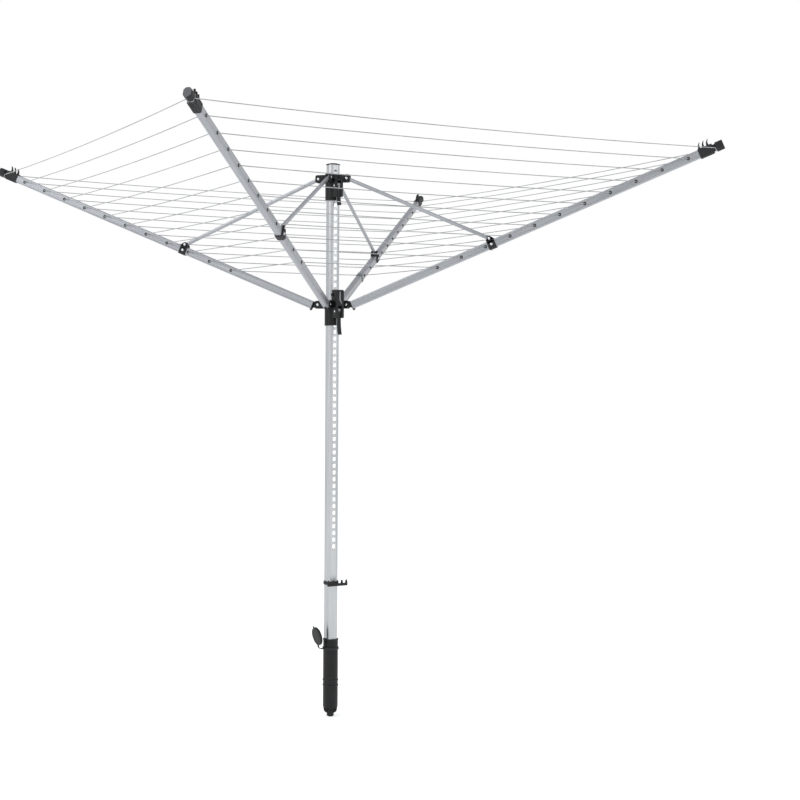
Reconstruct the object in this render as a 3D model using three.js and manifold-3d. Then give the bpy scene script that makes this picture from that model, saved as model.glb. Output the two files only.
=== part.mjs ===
// Rotary clothesline with four folding arms on a perforated mast.
// Millimetres, +Z up. The origin is on the mast axis, level with the rim of the ground socket.
// The arms point along -Y (front), +X (right), +Y (back) and -X (left).
import * as THREE from 'three';
import { mergeVertices } from 'three/addons/utils/BufferGeometryUtils.js';
import Module from 'manifold-3d';

const wasm = await Module();
wasm.setup();

// ---------------------------------------------------------------- driving dimensions
const CLEARANCE = 0.4; // between pieces that touch, slide or turn on each other

// mast
const MAST_RADIUS = 25;
const MAST_WALL = 1.8;
const MAST_ABOVE_HUB = 37; // between the upper hub and the cap
const MAST_BOTTOM = -252;
const STRIP_HALF_WIDTH = 10.5; // four flat strips let into the round tube
const STRIP_RECESS = 0.8;
const PERF_WIDTH = 12;
const PERF_HEIGHT = 14.5;
const PERF_PITCH = 25.4;
const PERF_START = 350;
const PERF_TOP_MARGIN = 22;
const CAP_OVERHANG = 2.5;
const CAP_EDGE = 3;
const CAP_DOME = 4.5;
const PLUG_DEPTH = 22; // how far the cap and the foot reach into the tube
const FOOT_THICKNESS = 5;

// linkage: the arm root pivots and the strut pivots lie at one radius, and arm and strut have one length
const PIVOT_REACH = 31; // from the mast's surface to the pivots
const ARM_PIVOT_Z = 1267;
const ARM_ELEVATION = 22.4; // degrees above level when open
const ARM_PIVOT_ABOVE_AXIS = 10;
const FOLD_GAP = 1; // between the strut's end and the arm

// arm
const ARM_WIDTH = 22;
const ARM_HEIGHT = 30;
const ARM_WALL = 1.4;
const ARM_CORNER = 6;
const ARM_GROOVE = 0.7;
const ARM_GROOVE_Z = 9.5;
const ARM_START = 21;
const HOLE_COUNT = 11;
const HOLE_PITCH = 98;
const FIRST_HOLE = 380;
const HOLE_RADIUS = 4;
const HOLES_INBOARD = 3; // of the strut clamp
const CLAMP_BEYOND_HOLE = 24; // from the last of those holes to the clamp's middle
const TIP_BEYOND_HOLE = 92; // tube end beyond the outermost hole
const SLEEVE_LENGTH = 52;
const SLEEVE_WALL = 2.4;
const CAP_NECK = 9; // groove for the outermost line
const NECK_INSET = 2.6; // the groove's floor below the tube's surface
const NECK_CORNER = 5;
const CAP_LENGTH = 27.5;
const END_CAP_SIDE = 2.5; // beyond the tube's sides
const END_CAP_TOP = 1.5; // beyond its top
const HORN_COUNT = 3;
const HORN_PITCH = 15;
const HORN_HEIGHT = 21;
const HORN_THICKNESS = 7;

// strut, clamp and pins
const STRUT_WIDTH = 10;
const STRUT_HEIGHT = 14;
const STRUT_WALL = 1.3;
const PIN_RADIUS = 3;
const PIN_HEAD = 5;
const PIN_HEAD_THICKNESS = 2;
const CLAMP_LENGTH = 29;
const CLAMP_WALL = 3;
const CLIP_LENGTH = 16;
const CLIP_WALL = 2;

// hubs
const EAR_THICKNESS = 5;
const EAR_HALF_HEIGHT = 15;
const EAR_END = 12; // beyond the pivot
const HUB_WALL = 3.6;
const UPPER_SLEEVE_DROP = 70; // below the ears
const LOWER_SLEEVE_DROP = 65;
const HOUSING_HALF_WIDTH = 17;
const LEVER_HALF_WIDTH = 7;
const LOWER_HOUSING_RISE = 40; // above the ears
const LOWER_HOUSING_DEPTH = 33; // beyond the hub's sleeve
const UPPER_HOUSING_DEPTH = 21;
const LOWER_LEVER_PIN_DROP = 26; // below the pivots
const LOWER_LEVER_LENGTH = 90;
const UPPER_LEVER_PIN_DROP = 30;
const UPPER_LEVER_LENGTH = 76;
const LEVER_HEEL = 11;
const LEVER_FLARE = 9;

// hanger rack
const RACK_Z = 205;
const RACK_HEIGHT = 12;
const RACK_REACH = 27; // from the mast's surface to the middle of the bar
const RACK_LENGTH = 84;
const RACK_THICKNESS = 7;
const RACK_TEETH = 5;
const RACK_TOOTH = 10;

// ground socket and lid
const SOCKET_WALL = 2.8;
const SOCKET_TIP_LENGTH = 35; // below the floor that the mast's foot stands on
const SOCKET_RINGS = [-175, -155];
const SOCKET_TIP_RADIUS = 13.5;
const SOCKET_RING = 1.8;
const LID_OVERLAP = 5.8; // beyond the socket
const LID_THICKNESS = 4;
const LID_LIP = 5;
const LID_RING_Z = -36;
const LID_RING_HEIGHT = 9;
const STRAP_WIDTH = 12;
const STRAP_THICKNESS = 2.4;
const STRAP_REACH = 24;
const STRAP_RISE = 12;
const LID_LEAN = 12; // degrees the open lid leans outwards
const LID_FILM = 1.2; // the thin end of the lid that turns on the strap
const LID_FILM_GAP = 1;

// clothes line
const LINE_RADIUS = 1.5;
const LINE_SIDES = 6;
const LINE_STEP_RISE = 8.5; // the line passes from hole to hole above the clamp's rivet

// ---------------------------------------------------------------- worked out
const RAD = Math.PI / 180;
const AZIMUTHS = { front: -90, right: 0, back: 90, left: 180 };
const DIAGONAL = -45; // levers and rack face this way
const LID_AZIMUTH = -135;
const PIVOT_RADIUS = MAST_RADIUS + PIVOT_REACH;
const CLAMP_PIVOT_ABOVE_AXIS = ARM_HEIGHT / 2 + STRUT_HEIGHT / 2 + FOLD_GAP;
const CLAMP_X = FIRST_HOLE + (HOLES_INBOARD - 1) * HOLE_PITCH + CLAMP_BEYOND_HOLE;
const LINK_RISE = CLAMP_PIVOT_ABOVE_AXIS - ARM_PIVOT_ABOVE_AXIS;
const LINK_LENGTH = Math.hypot(CLAMP_X, LINK_RISE);
const LINK_ANGLE = ARM_ELEVATION * RAD + Math.atan2(LINK_RISE, CLAMP_X);
const STRUT_PIVOT_Z = ARM_PIVOT_Z + 2 * LINK_LENGTH * Math.sin(LINK_ANGLE);
const MAST_TOP = STRUT_PIVOT_Z + EAR_HALF_HEIGHT + MAST_ABOVE_HUB;
const ARM_AXIS_Z = -ARM_PIVOT_ABOVE_AXIS; // in the arm's own frame, whose origin is the root pivot
const LAST_HOLE = FIRST_HOLE + (HOLE_COUNT - 1) * HOLE_PITCH;
const ARM_END = LAST_HOLE + TIP_BEYOND_HOLE;
const NECK_START = ARM_END + CLEARANCE;
const STRIP_DISTANCE = Math.sqrt(MAST_RADIUS ** 2 - STRIP_HALF_WIDTH ** 2) - STRIP_RECESS;
const MAST_BORE = MAST_RADIUS - MAST_WALL;
const STRIP_BORE = STRIP_DISTANCE - MAST_WALL;
const RUNNING_RADIUS = MAST_RADIUS + CLEARANCE;
const SLEEVE_RADIUS = RUNNING_RADIUS + HUB_WALL;
const LOWER_HOUSING_OUT = SLEEVE_RADIUS + LOWER_HOUSING_DEPTH;
const UPPER_HOUSING_OUT = SLEEVE_RADIUS + UPPER_HOUSING_DEPTH;
const CAP_RADIUS = MAST_RADIUS + CAP_OVERHANG;
const CAP_HALF_WIDTH = ARM_WIDTH / 2 + END_CAP_SIDE;
const CAP_HALF_HEIGHT = ARM_HEIGHT / 2 + END_CAP_TOP;
const RACK_OUT = MAST_RADIUS + RACK_REACH;
const SOCKET_RADIUS = RUNNING_RADIUS + SOCKET_WALL;
const LID_RADIUS = SOCKET_RADIUS + LID_OVERLAP;
const EAR_GAP = STRUT_WIDTH / 2 + CLEARANCE;
const EAR_OUTER = EAR_GAP + EAR_THICKNESS;
const LID_RING_RADIUS = SOCKET_RADIUS + CLEARANCE;
const LID_HINGE = { r: LID_RING_RADIUS + STRAP_REACH, z: LID_RING_Z + STRAP_RISE };

// ---------------------------------------------------------------- materials
const finish = (color, roughness, metalness) => new THREE.MeshStandardMaterial({ color, roughness, metalness });
const ALUMINIUM = finish(0xc9cbce, 0.38, 0.9);
const STEEL = finish(0xd8d9dc, 0.25, 1);
const PLASTIC = finish(0x232427, 0.55, 0);
const GREY_PLASTIC = finish(0x8b8f94, 0.5, 0);
const LINE = finish(0xe3e5e6, 0.45, 0);

// ---------------------------------------------------------------- solids
function toSolid(geometry) {
  const bare = geometry.index ? geometry.toNonIndexed() : geometry.clone();
  for (const name of Object.keys(bare.attributes)) if (name !== 'position') bare.deleteAttribute(name);
  const merged = mergeVertices(bare, 1e-4);
  const vertProperties = new Float32Array(merged.attributes.position.array);
  const triVerts = new Uint32Array(merged.index.array);
  return new wasm.Manifold(new wasm.Mesh({ numProp: 3, vertProperties, triVerts }));
}

function toGeometry(solid) {
  const mesh = solid.getMesh();
  const geometry = new THREE.BufferGeometry();
  geometry.setAttribute('position', new THREE.BufferAttribute(mesh.vertProperties, 3));
  geometry.setIndex(new THREE.BufferAttribute(mesh.triVerts, 1));
  geometry.computeVertexNormals();
  return geometry;
}

const join = (...solids) => solids.reduce((sum, solid) => sum.add(solid));
const cut = (solid, ...tools) => tools.reduce((rest, tool) => rest.subtract(tool), solid);

function box(x0, x1, y0, y1, z0, z1) {
  const geometry = new THREE.BoxGeometry(x1 - x0, y1 - y0, z1 - z0);
  return toSolid(geometry.translate((x0 + x1) / 2, (y0 + y1) / 2, (z0 + z1) / 2));
}

// a round bar along Y, centred on y = 0
function crossBar(radius, length, x, z, sides = 8) {
  return toSolid(new THREE.CylinderGeometry(radius, radius, length, sides).translate(x, 0, z));
}

// a closed lathe body about Z from [radius, z] points, counted upwards on the outside
function turned(points, sides = 24) {
  const profile = points.map(([r, z]) => new THREE.Vector2(r, z));
  const first = profile[0];
  if (first.x > 0) profile.push(first.clone());
  return toSolid(new THREE.LatheGeometry(profile, sides).rotateX(Math.PI / 2));
}

// an outline in X and Z, given thickness along Y about y = 0
function plate(shape, halfWidth, curveSegments = 8) {
  const settings = { depth: 2 * halfWidth, bevelEnabled: false, curveSegments };
  return toSolid(new THREE.ExtrudeGeometry(shape, settings).rotateX(Math.PI / 2).translate(0, halfWidth, 0));
}

// an outline in Y and Z, drawn out along X
function bar(shape, x0, x1, curveSegments = 2) {
  const geometry = new THREE.ExtrudeGeometry(shape, { depth: x1 - x0, bevelEnabled: false, curveSegments });
  geometry.applyMatrix4(new THREE.Matrix4().makeBasis(
    new THREE.Vector3(0, 1, 0), new THREE.Vector3(0, 0, 1), new THREE.Vector3(1, 0, 0)));
  return toSolid(geometry.translate(x0, 0, 0));
}

// a solid turned about Z, for what stands on a radius of the mast
const spun = (solid, degrees) => solid.rotate([0, 0, degrees]);

function roundedRectangle(halfWidth, halfHeight, corner, centreZ = 0) {
  const shape = new THREE.Shape();
  const turns = [[1, -1, -90], [1, 1, 0], [-1, 1, 90], [-1, -1, 180]];
  for (const [sx, sz, start] of turns) {
    const cx = sx * (halfWidth - corner);
    const cz = centreZ + sz * (halfHeight - corner);
    shape.absarc(cx, cz, corner, start * RAD, (start + 90) * RAD, false);
  }
  shape.closePath();
  return shape;
}

// ---------------------------------------------------------------- assembly
const clothesline = new THREE.Group();

function place(parent, name, solid, material) {
  const mesh = new THREE.Mesh(solid.isBufferGeometry ? solid : toGeometry(solid), material);
  mesh.name = name;
  parent.add(mesh);
  return mesh;
}

// frames on one arm's side of the mast: at its root pivot and at its strut's upper pivot
function linkFrame(azimuth, z, elevation) {
  const heading = new THREE.Group();
  heading.rotation.z = azimuth * RAD;
  const frame = new THREE.Group();
  frame.position.set(PIVOT_RADIUS, 0, z);
  frame.rotation.y = -elevation;
  heading.add(frame);
  clothesline.add(heading);
  return frame;
}

// ---------------------------------------------------------------- pins
// a rivet through plates whose outer faces are halfGrip from its middle
function rivet(halfGrip, x, z) {
  const underHead = halfGrip + CLEARANCE;
  const head = (side) => crossBar(PIN_HEAD, PIN_HEAD_THICKNESS, x, z)
    .translate([0, side * (underHead + PIN_HEAD_THICKNESS / 2), 0]);
  return join(crossBar(PIN_RADIUS, 2 * underHead + 1, x, z), head(-1), head(1));
}

const pinHole = (x, z, length = 200) => crossBar(PIN_RADIUS + CLEARANCE, length, x, z);

// ---------------------------------------------------------------- mast
function mastOutline(radius, flatDistance, recessHalfWidth) {
  const shape = new THREE.Shape();
  const half = Math.asin(recessHalfWidth / radius);
  const steps = 6;
  for (let side = 0; side < 4; side += 1) {
    const middle = (45 + 90 * side) * RAD;
    const flat = (lateral) => [
      flatDistance * Math.cos(middle) - lateral * Math.sin(middle),
      flatDistance * Math.sin(middle) + lateral * Math.cos(middle)];
    const [x, y] = flat(-recessHalfWidth);
    if (side === 0) shape.moveTo(x, y);
    else shape.lineTo(x, y);
    shape.lineTo(...flat(recessHalfWidth));
    for (let i = 0; i <= steps; i += 1) {
      const angle = middle + half + (Math.PI / 2 - 2 * half) * (i / steps);
      shape.lineTo(radius * Math.cos(angle), radius * Math.sin(angle));
    }
  }
  shape.closePath();
  return shape;
}

function mastTube() {
  const extrude = (shape, z0, z1) =>
    toSolid(new THREE.ExtrudeGeometry(shape, { depth: z1 - z0, bevelEnabled: false }).translate(0, 0, z0));
  const outer = extrude(mastOutline(MAST_RADIUS, STRIP_DISTANCE, STRIP_HALF_WIDTH), MAST_BOTTOM, MAST_TOP);
  const boreFlat = Math.sqrt(MAST_BORE ** 2 - STRIP_BORE ** 2);
  const bore = extrude(mastOutline(MAST_BORE, STRIP_BORE, boreFlat - 0.01), MAST_BOTTOM - 1, MAST_TOP + 1);
  const holes = [];
  for (let z = PERF_START; z < MAST_TOP - PERF_TOP_MARGIN; z += PERF_PITCH) {
    holes.push(box(-2 * MAST_RADIUS, 2 * MAST_RADIUS, -PERF_WIDTH / 2, PERF_WIDTH / 2,
      z - PERF_HEIGHT / 2, z + PERF_HEIGHT / 2));
  }
  const row = spun(wasm.Manifold.compose(holes), DIAGONAL);
  return cut(outer, bore, row);
}

const plugRadius = STRIP_BORE - CLEARANCE;

function mastCap() {
  const base = MAST_TOP + CLEARANCE;
  return turned([[0, base - PLUG_DEPTH], [plugRadius, base - PLUG_DEPTH], [plugRadius, base], [CAP_RADIUS, base],
    [CAP_RADIUS, base + CAP_EDGE], [CAP_RADIUS * 0.72, base + CAP_EDGE + CAP_DOME * 0.62],
    [CAP_RADIUS * 0.36, base + CAP_EDGE + CAP_DOME * 0.92], [0, base + CAP_EDGE + CAP_DOME]]);
}

const footTop = MAST_BOTTOM - CLEARANCE;
const footBottom = footTop - FOOT_THICKNESS;

function mastFoot() {
  return turned([[0, footBottom], [MAST_RADIUS - 3, footBottom], [MAST_RADIUS - 1, footBottom + 2],
    [MAST_RADIUS - 1, footTop], [plugRadius, footTop], [plugRadius - 2, footTop + PLUG_DEPTH],
    [0, footTop + PLUG_DEPTH]]);
}

function hangerRack() {
  const top = RACK_Z + RACK_HEIGHT;
  const clip = turned([[RUNNING_RADIUS, RACK_Z], [RUNNING_RADIUS + 3.4, RACK_Z], [RUNNING_RADIUS + 3.4, top],
    [RUNNING_RADIUS, top]]);
  const inner = RACK_OUT - RACK_THICKNESS / 2;
  const outer = RACK_OUT + RACK_THICKNESS / 2;
  const neck = box(RUNNING_RADIUS + 1.5, inner + 1, -9, 9, RACK_Z, top - 3);
  const shape = new THREE.Shape();
  const half = RACK_LENGTH / 2;
  const pitch = (RACK_LENGTH - 8) / (RACK_TEETH - 1);
  shape.moveTo(-half, RACK_Z);
  shape.lineTo(half, RACK_Z);
  for (let i = RACK_TEETH - 1; i >= 0; i -= 1) {
    const middle = -half + 4 + i * pitch;
    shape.lineTo(middle + 4, top - (i === RACK_TEETH - 1 ? 0 : 2));
    shape.lineTo(middle + 1.5, top + RACK_TOOTH);
    shape.lineTo(middle - 1.5, top + RACK_TOOTH);
    shape.lineTo(middle - 4, top - (i === 0 ? 0 : 2));
  }
  shape.closePath();
  return spun(join(clip, neck, bar(shape, inner, outer)), DIAGONAL);
}

place(clothesline, 'mast_tube', mastTube(), ALUMINIUM);
place(clothesline, 'mast_cap', mastCap(), PLASTIC);
place(clothesline, 'mast_foot', mastFoot(), PLASTIC);
place(clothesline, 'hanger_rack', hangerRack(), PLASTIC);

// ---------------------------------------------------------------- hubs
// two ears on each side of the mast, reaching past a pivot at the height pivotZ
function hubEars(pivotZ) {
  const ears = [];
  const end = PIVOT_RADIUS + EAR_END;
  const shape = new THREE.Shape();
  const round = 7;
  shape.moveTo(RUNNING_RADIUS + 1.5, -EAR_HALF_HEIGHT);
  shape.absarc(end - round, -EAR_HALF_HEIGHT + round, round, -Math.PI / 2, 0, false);
  shape.absarc(end - round, EAR_HALF_HEIGHT - round, round, 0, Math.PI / 2, false);
  shape.lineTo(RUNNING_RADIUS + 1.5, EAR_HALF_HEIGHT);
  shape.closePath();
  const ear = plate(shape, EAR_THICKNESS / 2, 3).translate([0, 0, pivotZ]);
  const middle = EAR_GAP + EAR_THICKNESS / 2;
  for (const azimuth of Object.values(AZIMUTHS)) {
    for (const side of [-1, 1]) ears.push(spun(ear.translate([0, side * middle, 0]), azimuth));
  }
  return join(...ears);
}

function hubPinHoles(pivotZ) {
  const hole = pinHole(PIVOT_RADIUS, pivotZ, 2 * EAR_OUTER + 4);
  return Object.values(AZIMUTHS).map((azimuth) => spun(hole, azimuth));
}

function hub({ pivotZ, sleeveDrop, housingTop, housingBottom, housingOut, slotTop, pinRadiusAt, pinZ }) {
  const top = pivotZ + EAR_HALF_HEIGHT;
  const bottom = pivotZ - EAR_HALF_HEIGHT - sleeveDrop;
  const sleeve = turned([[RUNNING_RADIUS, bottom], [SLEEVE_RADIUS, bottom], [SLEEVE_RADIUS, top],
    [RUNNING_RADIUS, top]]);
  const blockShape = new THREE.Shape();
  const round = 9;
  blockShape.moveTo(RUNNING_RADIUS - 8, housingBottom);
  blockShape.lineTo(housingOut, housingBottom);
  blockShape.absarc(housingOut - round, housingTop - round, round, 0, Math.PI / 2, false);
  blockShape.lineTo(RUNNING_RADIUS - 8, housingTop);
  blockShape.closePath();
  const bore = turned([[0, housingBottom - 5], [RUNNING_RADIUS, housingBottom - 5],
    [RUNNING_RADIUS, housingTop + 5], [0, housingTop + 5]]);
  const slotHalf = LEVER_HALF_WIDTH + CLEARANCE;
  const slot = box(SLEEVE_RADIUS + 1, housingOut + 10, -slotHalf, slotHalf, housingBottom - 5, slotTop);
  const housing = cut(plate(blockShape, HOUSING_HALF_WIDTH, 3), bore, slot, pinHole(pinRadiusAt, pinZ, 60));
  return cut(join(sleeve, hubEars(pivotZ), spun(housing, DIAGONAL)), spun(slot, DIAGONAL),
    ...hubPinHoles(pivotZ));
}

// a cam lever hanging from its pin, its tail flaring away from the mast
function lever(pinRadiusAt, pinZ, length) {
  const shape = new THREE.Shape();
  const half = 6.5;
  const bottom = pinZ - length;
  shape.moveTo(pinRadiusAt - half, pinZ);
  shape.lineTo(pinRadiusAt - half, pinZ - length * 0.45);
  shape.quadraticCurveTo(pinRadiusAt - half, pinZ - length * 0.75, pinRadiusAt - half + LEVER_FLARE, bottom);
  shape.lineTo(pinRadiusAt + half + LEVER_FLARE, bottom + 2);
  shape.quadraticCurveTo(pinRadiusAt + half, pinZ - length * 0.7, pinRadiusAt + half, pinZ - length * 0.4);
  shape.lineTo(pinRadiusAt + half, pinZ);
  shape.absarc(pinRadiusAt, pinZ + LEVER_HEEL - half, half, 0, Math.PI, false);
  shape.closePath();
  return spun(cut(plate(shape, LEVER_HALF_WIDTH, 5), pinHole(pinRadiusAt, pinZ, 60)), DIAGONAL);
}

const leverPin = (pinRadiusAt, pinZ) => spun(rivet(HOUSING_HALF_WIDTH, pinRadiusAt, pinZ), DIAGONAL);

const lowerPin = { r: LOWER_HOUSING_OUT - 12, z: ARM_PIVOT_Z - LOWER_LEVER_PIN_DROP };
const upperPin = { r: UPPER_HOUSING_OUT - 8, z: STRUT_PIVOT_Z - UPPER_LEVER_PIN_DROP };

const lowerHub = hub({
  pivotZ: ARM_PIVOT_Z,
  sleeveDrop: LOWER_SLEEVE_DROP,
  housingTop: ARM_PIVOT_Z + EAR_HALF_HEIGHT + LOWER_HOUSING_RISE,
  housingBottom: ARM_PIVOT_Z - 52,
  housingOut: LOWER_HOUSING_OUT,
  slotTop: lowerPin.z + LEVER_HEEL + 8,
  pinRadiusAt: lowerPin.r,
  pinZ: lowerPin.z,
});

const upperHub = hub({
  pivotZ: STRUT_PIVOT_Z,
  sleeveDrop: UPPER_SLEEVE_DROP,
  housingTop: STRUT_PIVOT_Z - 4,
  housingBottom: STRUT_PIVOT_Z - EAR_HALF_HEIGHT - UPPER_SLEEVE_DROP + 12,
  housingOut: UPPER_HOUSING_OUT,
  slotTop: upperPin.z + LEVER_HEEL + 8,
  pinRadiusAt: upperPin.r,
  pinZ: upperPin.z,
});

place(clothesline, 'lower_hub', lowerHub, PLASTIC);
place(clothesline, 'upper_hub', upperHub, PLASTIC);
place(clothesline, 'lower_lever', lever(lowerPin.r, lowerPin.z, LOWER_LEVER_LENGTH), PLASTIC);
place(clothesline, 'upper_lever', lever(upperPin.r, upperPin.z, UPPER_LEVER_LENGTH), PLASTIC);
place(clothesline, 'lower_lever_pin', leverPin(lowerPin.r, lowerPin.z), STEEL);
place(clothesline, 'upper_lever_pin', leverPin(upperPin.r, upperPin.z), STEEL);

// ---------------------------------------------------------------- arms, in the frame of the root pivot
function grooved(halfWidth, halfHeight, corner) {
  const shape = new THREE.Shape();
  const depth = ARM_GROOVE;
  const z0 = ARM_AXIS_Z;
  const quarter = (cy, cz, start) => shape.absarc(cy, cz, corner, start * RAD, (start + 90) * RAD, false);
  const side = (sign) => {
    const y = sign * halfWidth;
    for (const z of [-ARM_GROOVE_Z * sign, ARM_GROOVE_Z * sign]) {
      shape.lineTo(y, z0 + z - sign);
      shape.lineTo(y - sign * depth, z0 + z);
      shape.lineTo(y, z0 + z + sign);
    }
  };
  const inY = halfWidth - corner;
  const inZ = halfHeight - corner;
  quarter(inY, z0 - inZ, -90);
  side(1);
  quarter(inY, z0 + inZ, 0);
  quarter(-inY, z0 + inZ, 90);
  side(-1);
  quarter(-inY, z0 - inZ, 180);
  shape.closePath();
  return shape;
}

const holeAt = (index) => FIRST_HOLE + index * HOLE_PITCH;
const armSection = (grow, corner) =>
  roundedRectangle(ARM_WIDTH / 2 + grow, ARM_HEIGHT / 2 + grow, corner, ARM_AXIS_Z);

function armTube() {
  const outer = bar(grooved(ARM_WIDTH / 2, ARM_HEIGHT / 2, ARM_CORNER - 2), ARM_START, ARM_END, 2);
  const bore = bar(armSection(-ARM_WALL, ARM_CORNER - 3), ARM_START - 1, ARM_END + 1, 2);
  const holes = [];
  for (let i = 0; i < HOLE_COUNT; i += 1) holes.push(crossBar(HOLE_RADIUS, 60, holeAt(i), ARM_AXIS_Z, 6));
  holes.push(crossBar(PIN_RADIUS + CLEARANCE, 60, CLAMP_X, ARM_AXIS_Z));
  return cut(outer, bore, wasm.Manifold.compose(holes));
}

// the root plug fills the tube's end and carries the tongue that hangs on the hub's pin
function armRoot() {
  const plug = bar(armSection(-ARM_WALL - CLEARANCE, 3), ARM_START - 3, ARM_START + 28);
  const flange = bar(armSection(-1, 3), ARM_START - 3, ARM_START - CLEARANCE);
  const half = STRUT_WIDTH / 2;
  const shape = new THREE.Shape();
  shape.absarc(0, 0, 9, 90 * RAD, 250 * RAD, false);
  shape.lineTo(ARM_START - 4, ARM_AXIS_Z - 10);
  shape.lineTo(ARM_START, ARM_AXIS_Z - 10);
  shape.lineTo(ARM_START, 4);
  shape.lineTo(ARM_START - 8, 9);
  shape.closePath();
  return cut(join(plug, flange, plate(shape, half)), pinHole(0, 0, 60),
    bar(armSection(-ARM_WALL - 4, 2), ARM_START + 4, ARM_START + 40));
}

// the sleeve over the tube's end, with upright hooks for clothes hangers
function endSleeve() {
  const x1 = ARM_END;
  const x0 = x1 - SLEEVE_LENGTH;
  const shell = bar(armSection(SLEEVE_WALL + CLEARANCE, ARM_CORNER), x0, x1);
  const bore = bar(armSection(CLEARANCE, ARM_CORNER - 2), x0 - 1, x1 + 1);
  const top = ARM_AXIS_Z + ARM_HEIGHT / 2 + CLEARANCE + SLEEVE_WALL;
  const horns = [];
  for (let i = 0; i < HORN_COUNT; i += 1) {
    const x = x0 + 8 + i * HORN_PITCH;
    const shape = new THREE.Shape();
    shape.moveTo(x - 5, top - 1.5);
    shape.lineTo(x + 5, top - 1.5);
    shape.quadraticCurveTo(x + 3, top + HORN_HEIGHT * 0.5, x + 9, top + HORN_HEIGHT);
    shape.lineTo(x + 5, top + HORN_HEIGHT);
    shape.quadraticCurveTo(x - 4, top + HORN_HEIGHT * 0.6, x - 5, top - 1.5);
    shape.closePath();
    horns.push(plate(shape, HORN_THICKNESS / 2, 3));
  }
  return cut(join(shell, ...horns), bore);
}

// the end cap plugs into the tube; the outermost line lies in the groove round its neck
function endCap() {
  const spigot = bar(armSection(-ARM_WALL - CLEARANCE, 3), ARM_END - 24, NECK_START + 1);
  const neck = bar(armSection(-NECK_INSET, NECK_CORNER), ARM_END + CLEARANCE / 2, NECK_START + CAP_NECK + 1);
  const z0 = ARM_AXIS_Z;
  const shape = new THREE.Shape();
  shape.moveTo(0, z0 - CAP_HALF_HEIGHT - 2);
  shape.lineTo(CAP_HALF_WIDTH, z0 - CAP_HALF_HEIGHT * 0.5);
  shape.lineTo(CAP_HALF_WIDTH, z0 + CAP_HALF_HEIGHT * 0.55);
  shape.lineTo(CAP_HALF_WIDTH * 0.45, z0 + CAP_HALF_HEIGHT);
  shape.lineTo(-CAP_HALF_WIDTH * 0.45, z0 + CAP_HALF_HEIGHT);
  shape.lineTo(-CAP_HALF_WIDTH, z0 + CAP_HALF_HEIGHT * 0.55);
  shape.lineTo(-CAP_HALF_WIDTH, z0 - CAP_HALF_HEIGHT * 0.5);
  shape.closePath();
  return join(spigot, neck, bar(shape, NECK_START + CAP_NECK, NECK_START + CAP_NECK + CAP_LENGTH));
}

const clampHalfWidth = ARM_WIDTH / 2 + CLEARANCE + CLAMP_WALL;

function strutClamp() {
  const x0 = CLAMP_X - CLAMP_LENGTH / 2;
  const x1 = CLAMP_X + CLAMP_LENGTH / 2;
  const band = bar(armSection(CLEARANCE + CLAMP_WALL, ARM_CORNER), x0, x1);
  const bore = bar(armSection(CLEARANCE, ARM_CORNER - 2), x0 - 1, x1 + 1);
  const pivotZ = ARM_AXIS_Z + CLAMP_PIVOT_ABOVE_AXIS;
  const ear = new THREE.Shape();
  ear.moveTo(x0, ARM_AXIS_Z + 4);
  ear.lineTo(x1, ARM_AXIS_Z + 4);
  ear.lineTo(x1, pivotZ - 3);
  ear.absarc(CLAMP_X, pivotZ, 9, 20 * RAD, 160 * RAD, false);
  ear.lineTo(x0, pivotZ - 3);
  ear.closePath();
  const gap = box(x0 - 1, x1 + 1, -EAR_GAP, EAR_GAP, ARM_AXIS_Z + ARM_HEIGHT / 2 - 3, pivotZ + 20);
  return cut(join(band, plate(ear, clampHalfWidth, 4)), bore, gap,
    pinHole(CLAMP_X, pivotZ, 60), pinHole(CLAMP_X, ARM_AXIS_Z, 60));
}

function lineClip() {
  const x1 = FIRST_HOLE - 24;
  const x0 = x1 - CLIP_LENGTH;
  const band = bar(armSection(CLEARANCE + CLIP_WALL, ARM_CORNER), x0, x1);
  const tail = box(x0, x1, -6, 6, ARM_AXIS_Z + ARM_HEIGHT / 2 + 1, ARM_AXIS_Z + ARM_HEIGHT / 2 + 7);
  return cut(join(band, tail), bar(armSection(CLEARANCE, ARM_CORNER - 2), x0 - 1, x1 + 1));
}

// ---------------------------------------------------------------- struts, in the frame of the hub's pivot
function strutTube() {
  const end = STRUT_HEIGHT / 2; // each end is rounded about its pivot
  const outer = bar(roundedRectangle(STRUT_WIDTH / 2, STRUT_HEIGHT / 2, 3.5), -end, LINK_LENGTH + end);
  const bore = bar(roundedRectangle(STRUT_WIDTH / 2 - STRUT_WALL, STRUT_HEIGHT / 2 - STRUT_WALL, 2.2),
    -end - 1, LINK_LENGTH + end + 1);
  const outline = new THREE.Shape();
  outline.absarc(0, 0, end, 90 * RAD, 270 * RAD, false);
  outline.absarc(LINK_LENGTH, 0, end, -90 * RAD, 90 * RAD, false);
  outline.closePath();
  return cut(outer.intersect(plate(outline, STRUT_WIDTH, 5)), bore, pinHole(0, 0, 60), pinHole(LINK_LENGTH, 0, 60));
}

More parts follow.
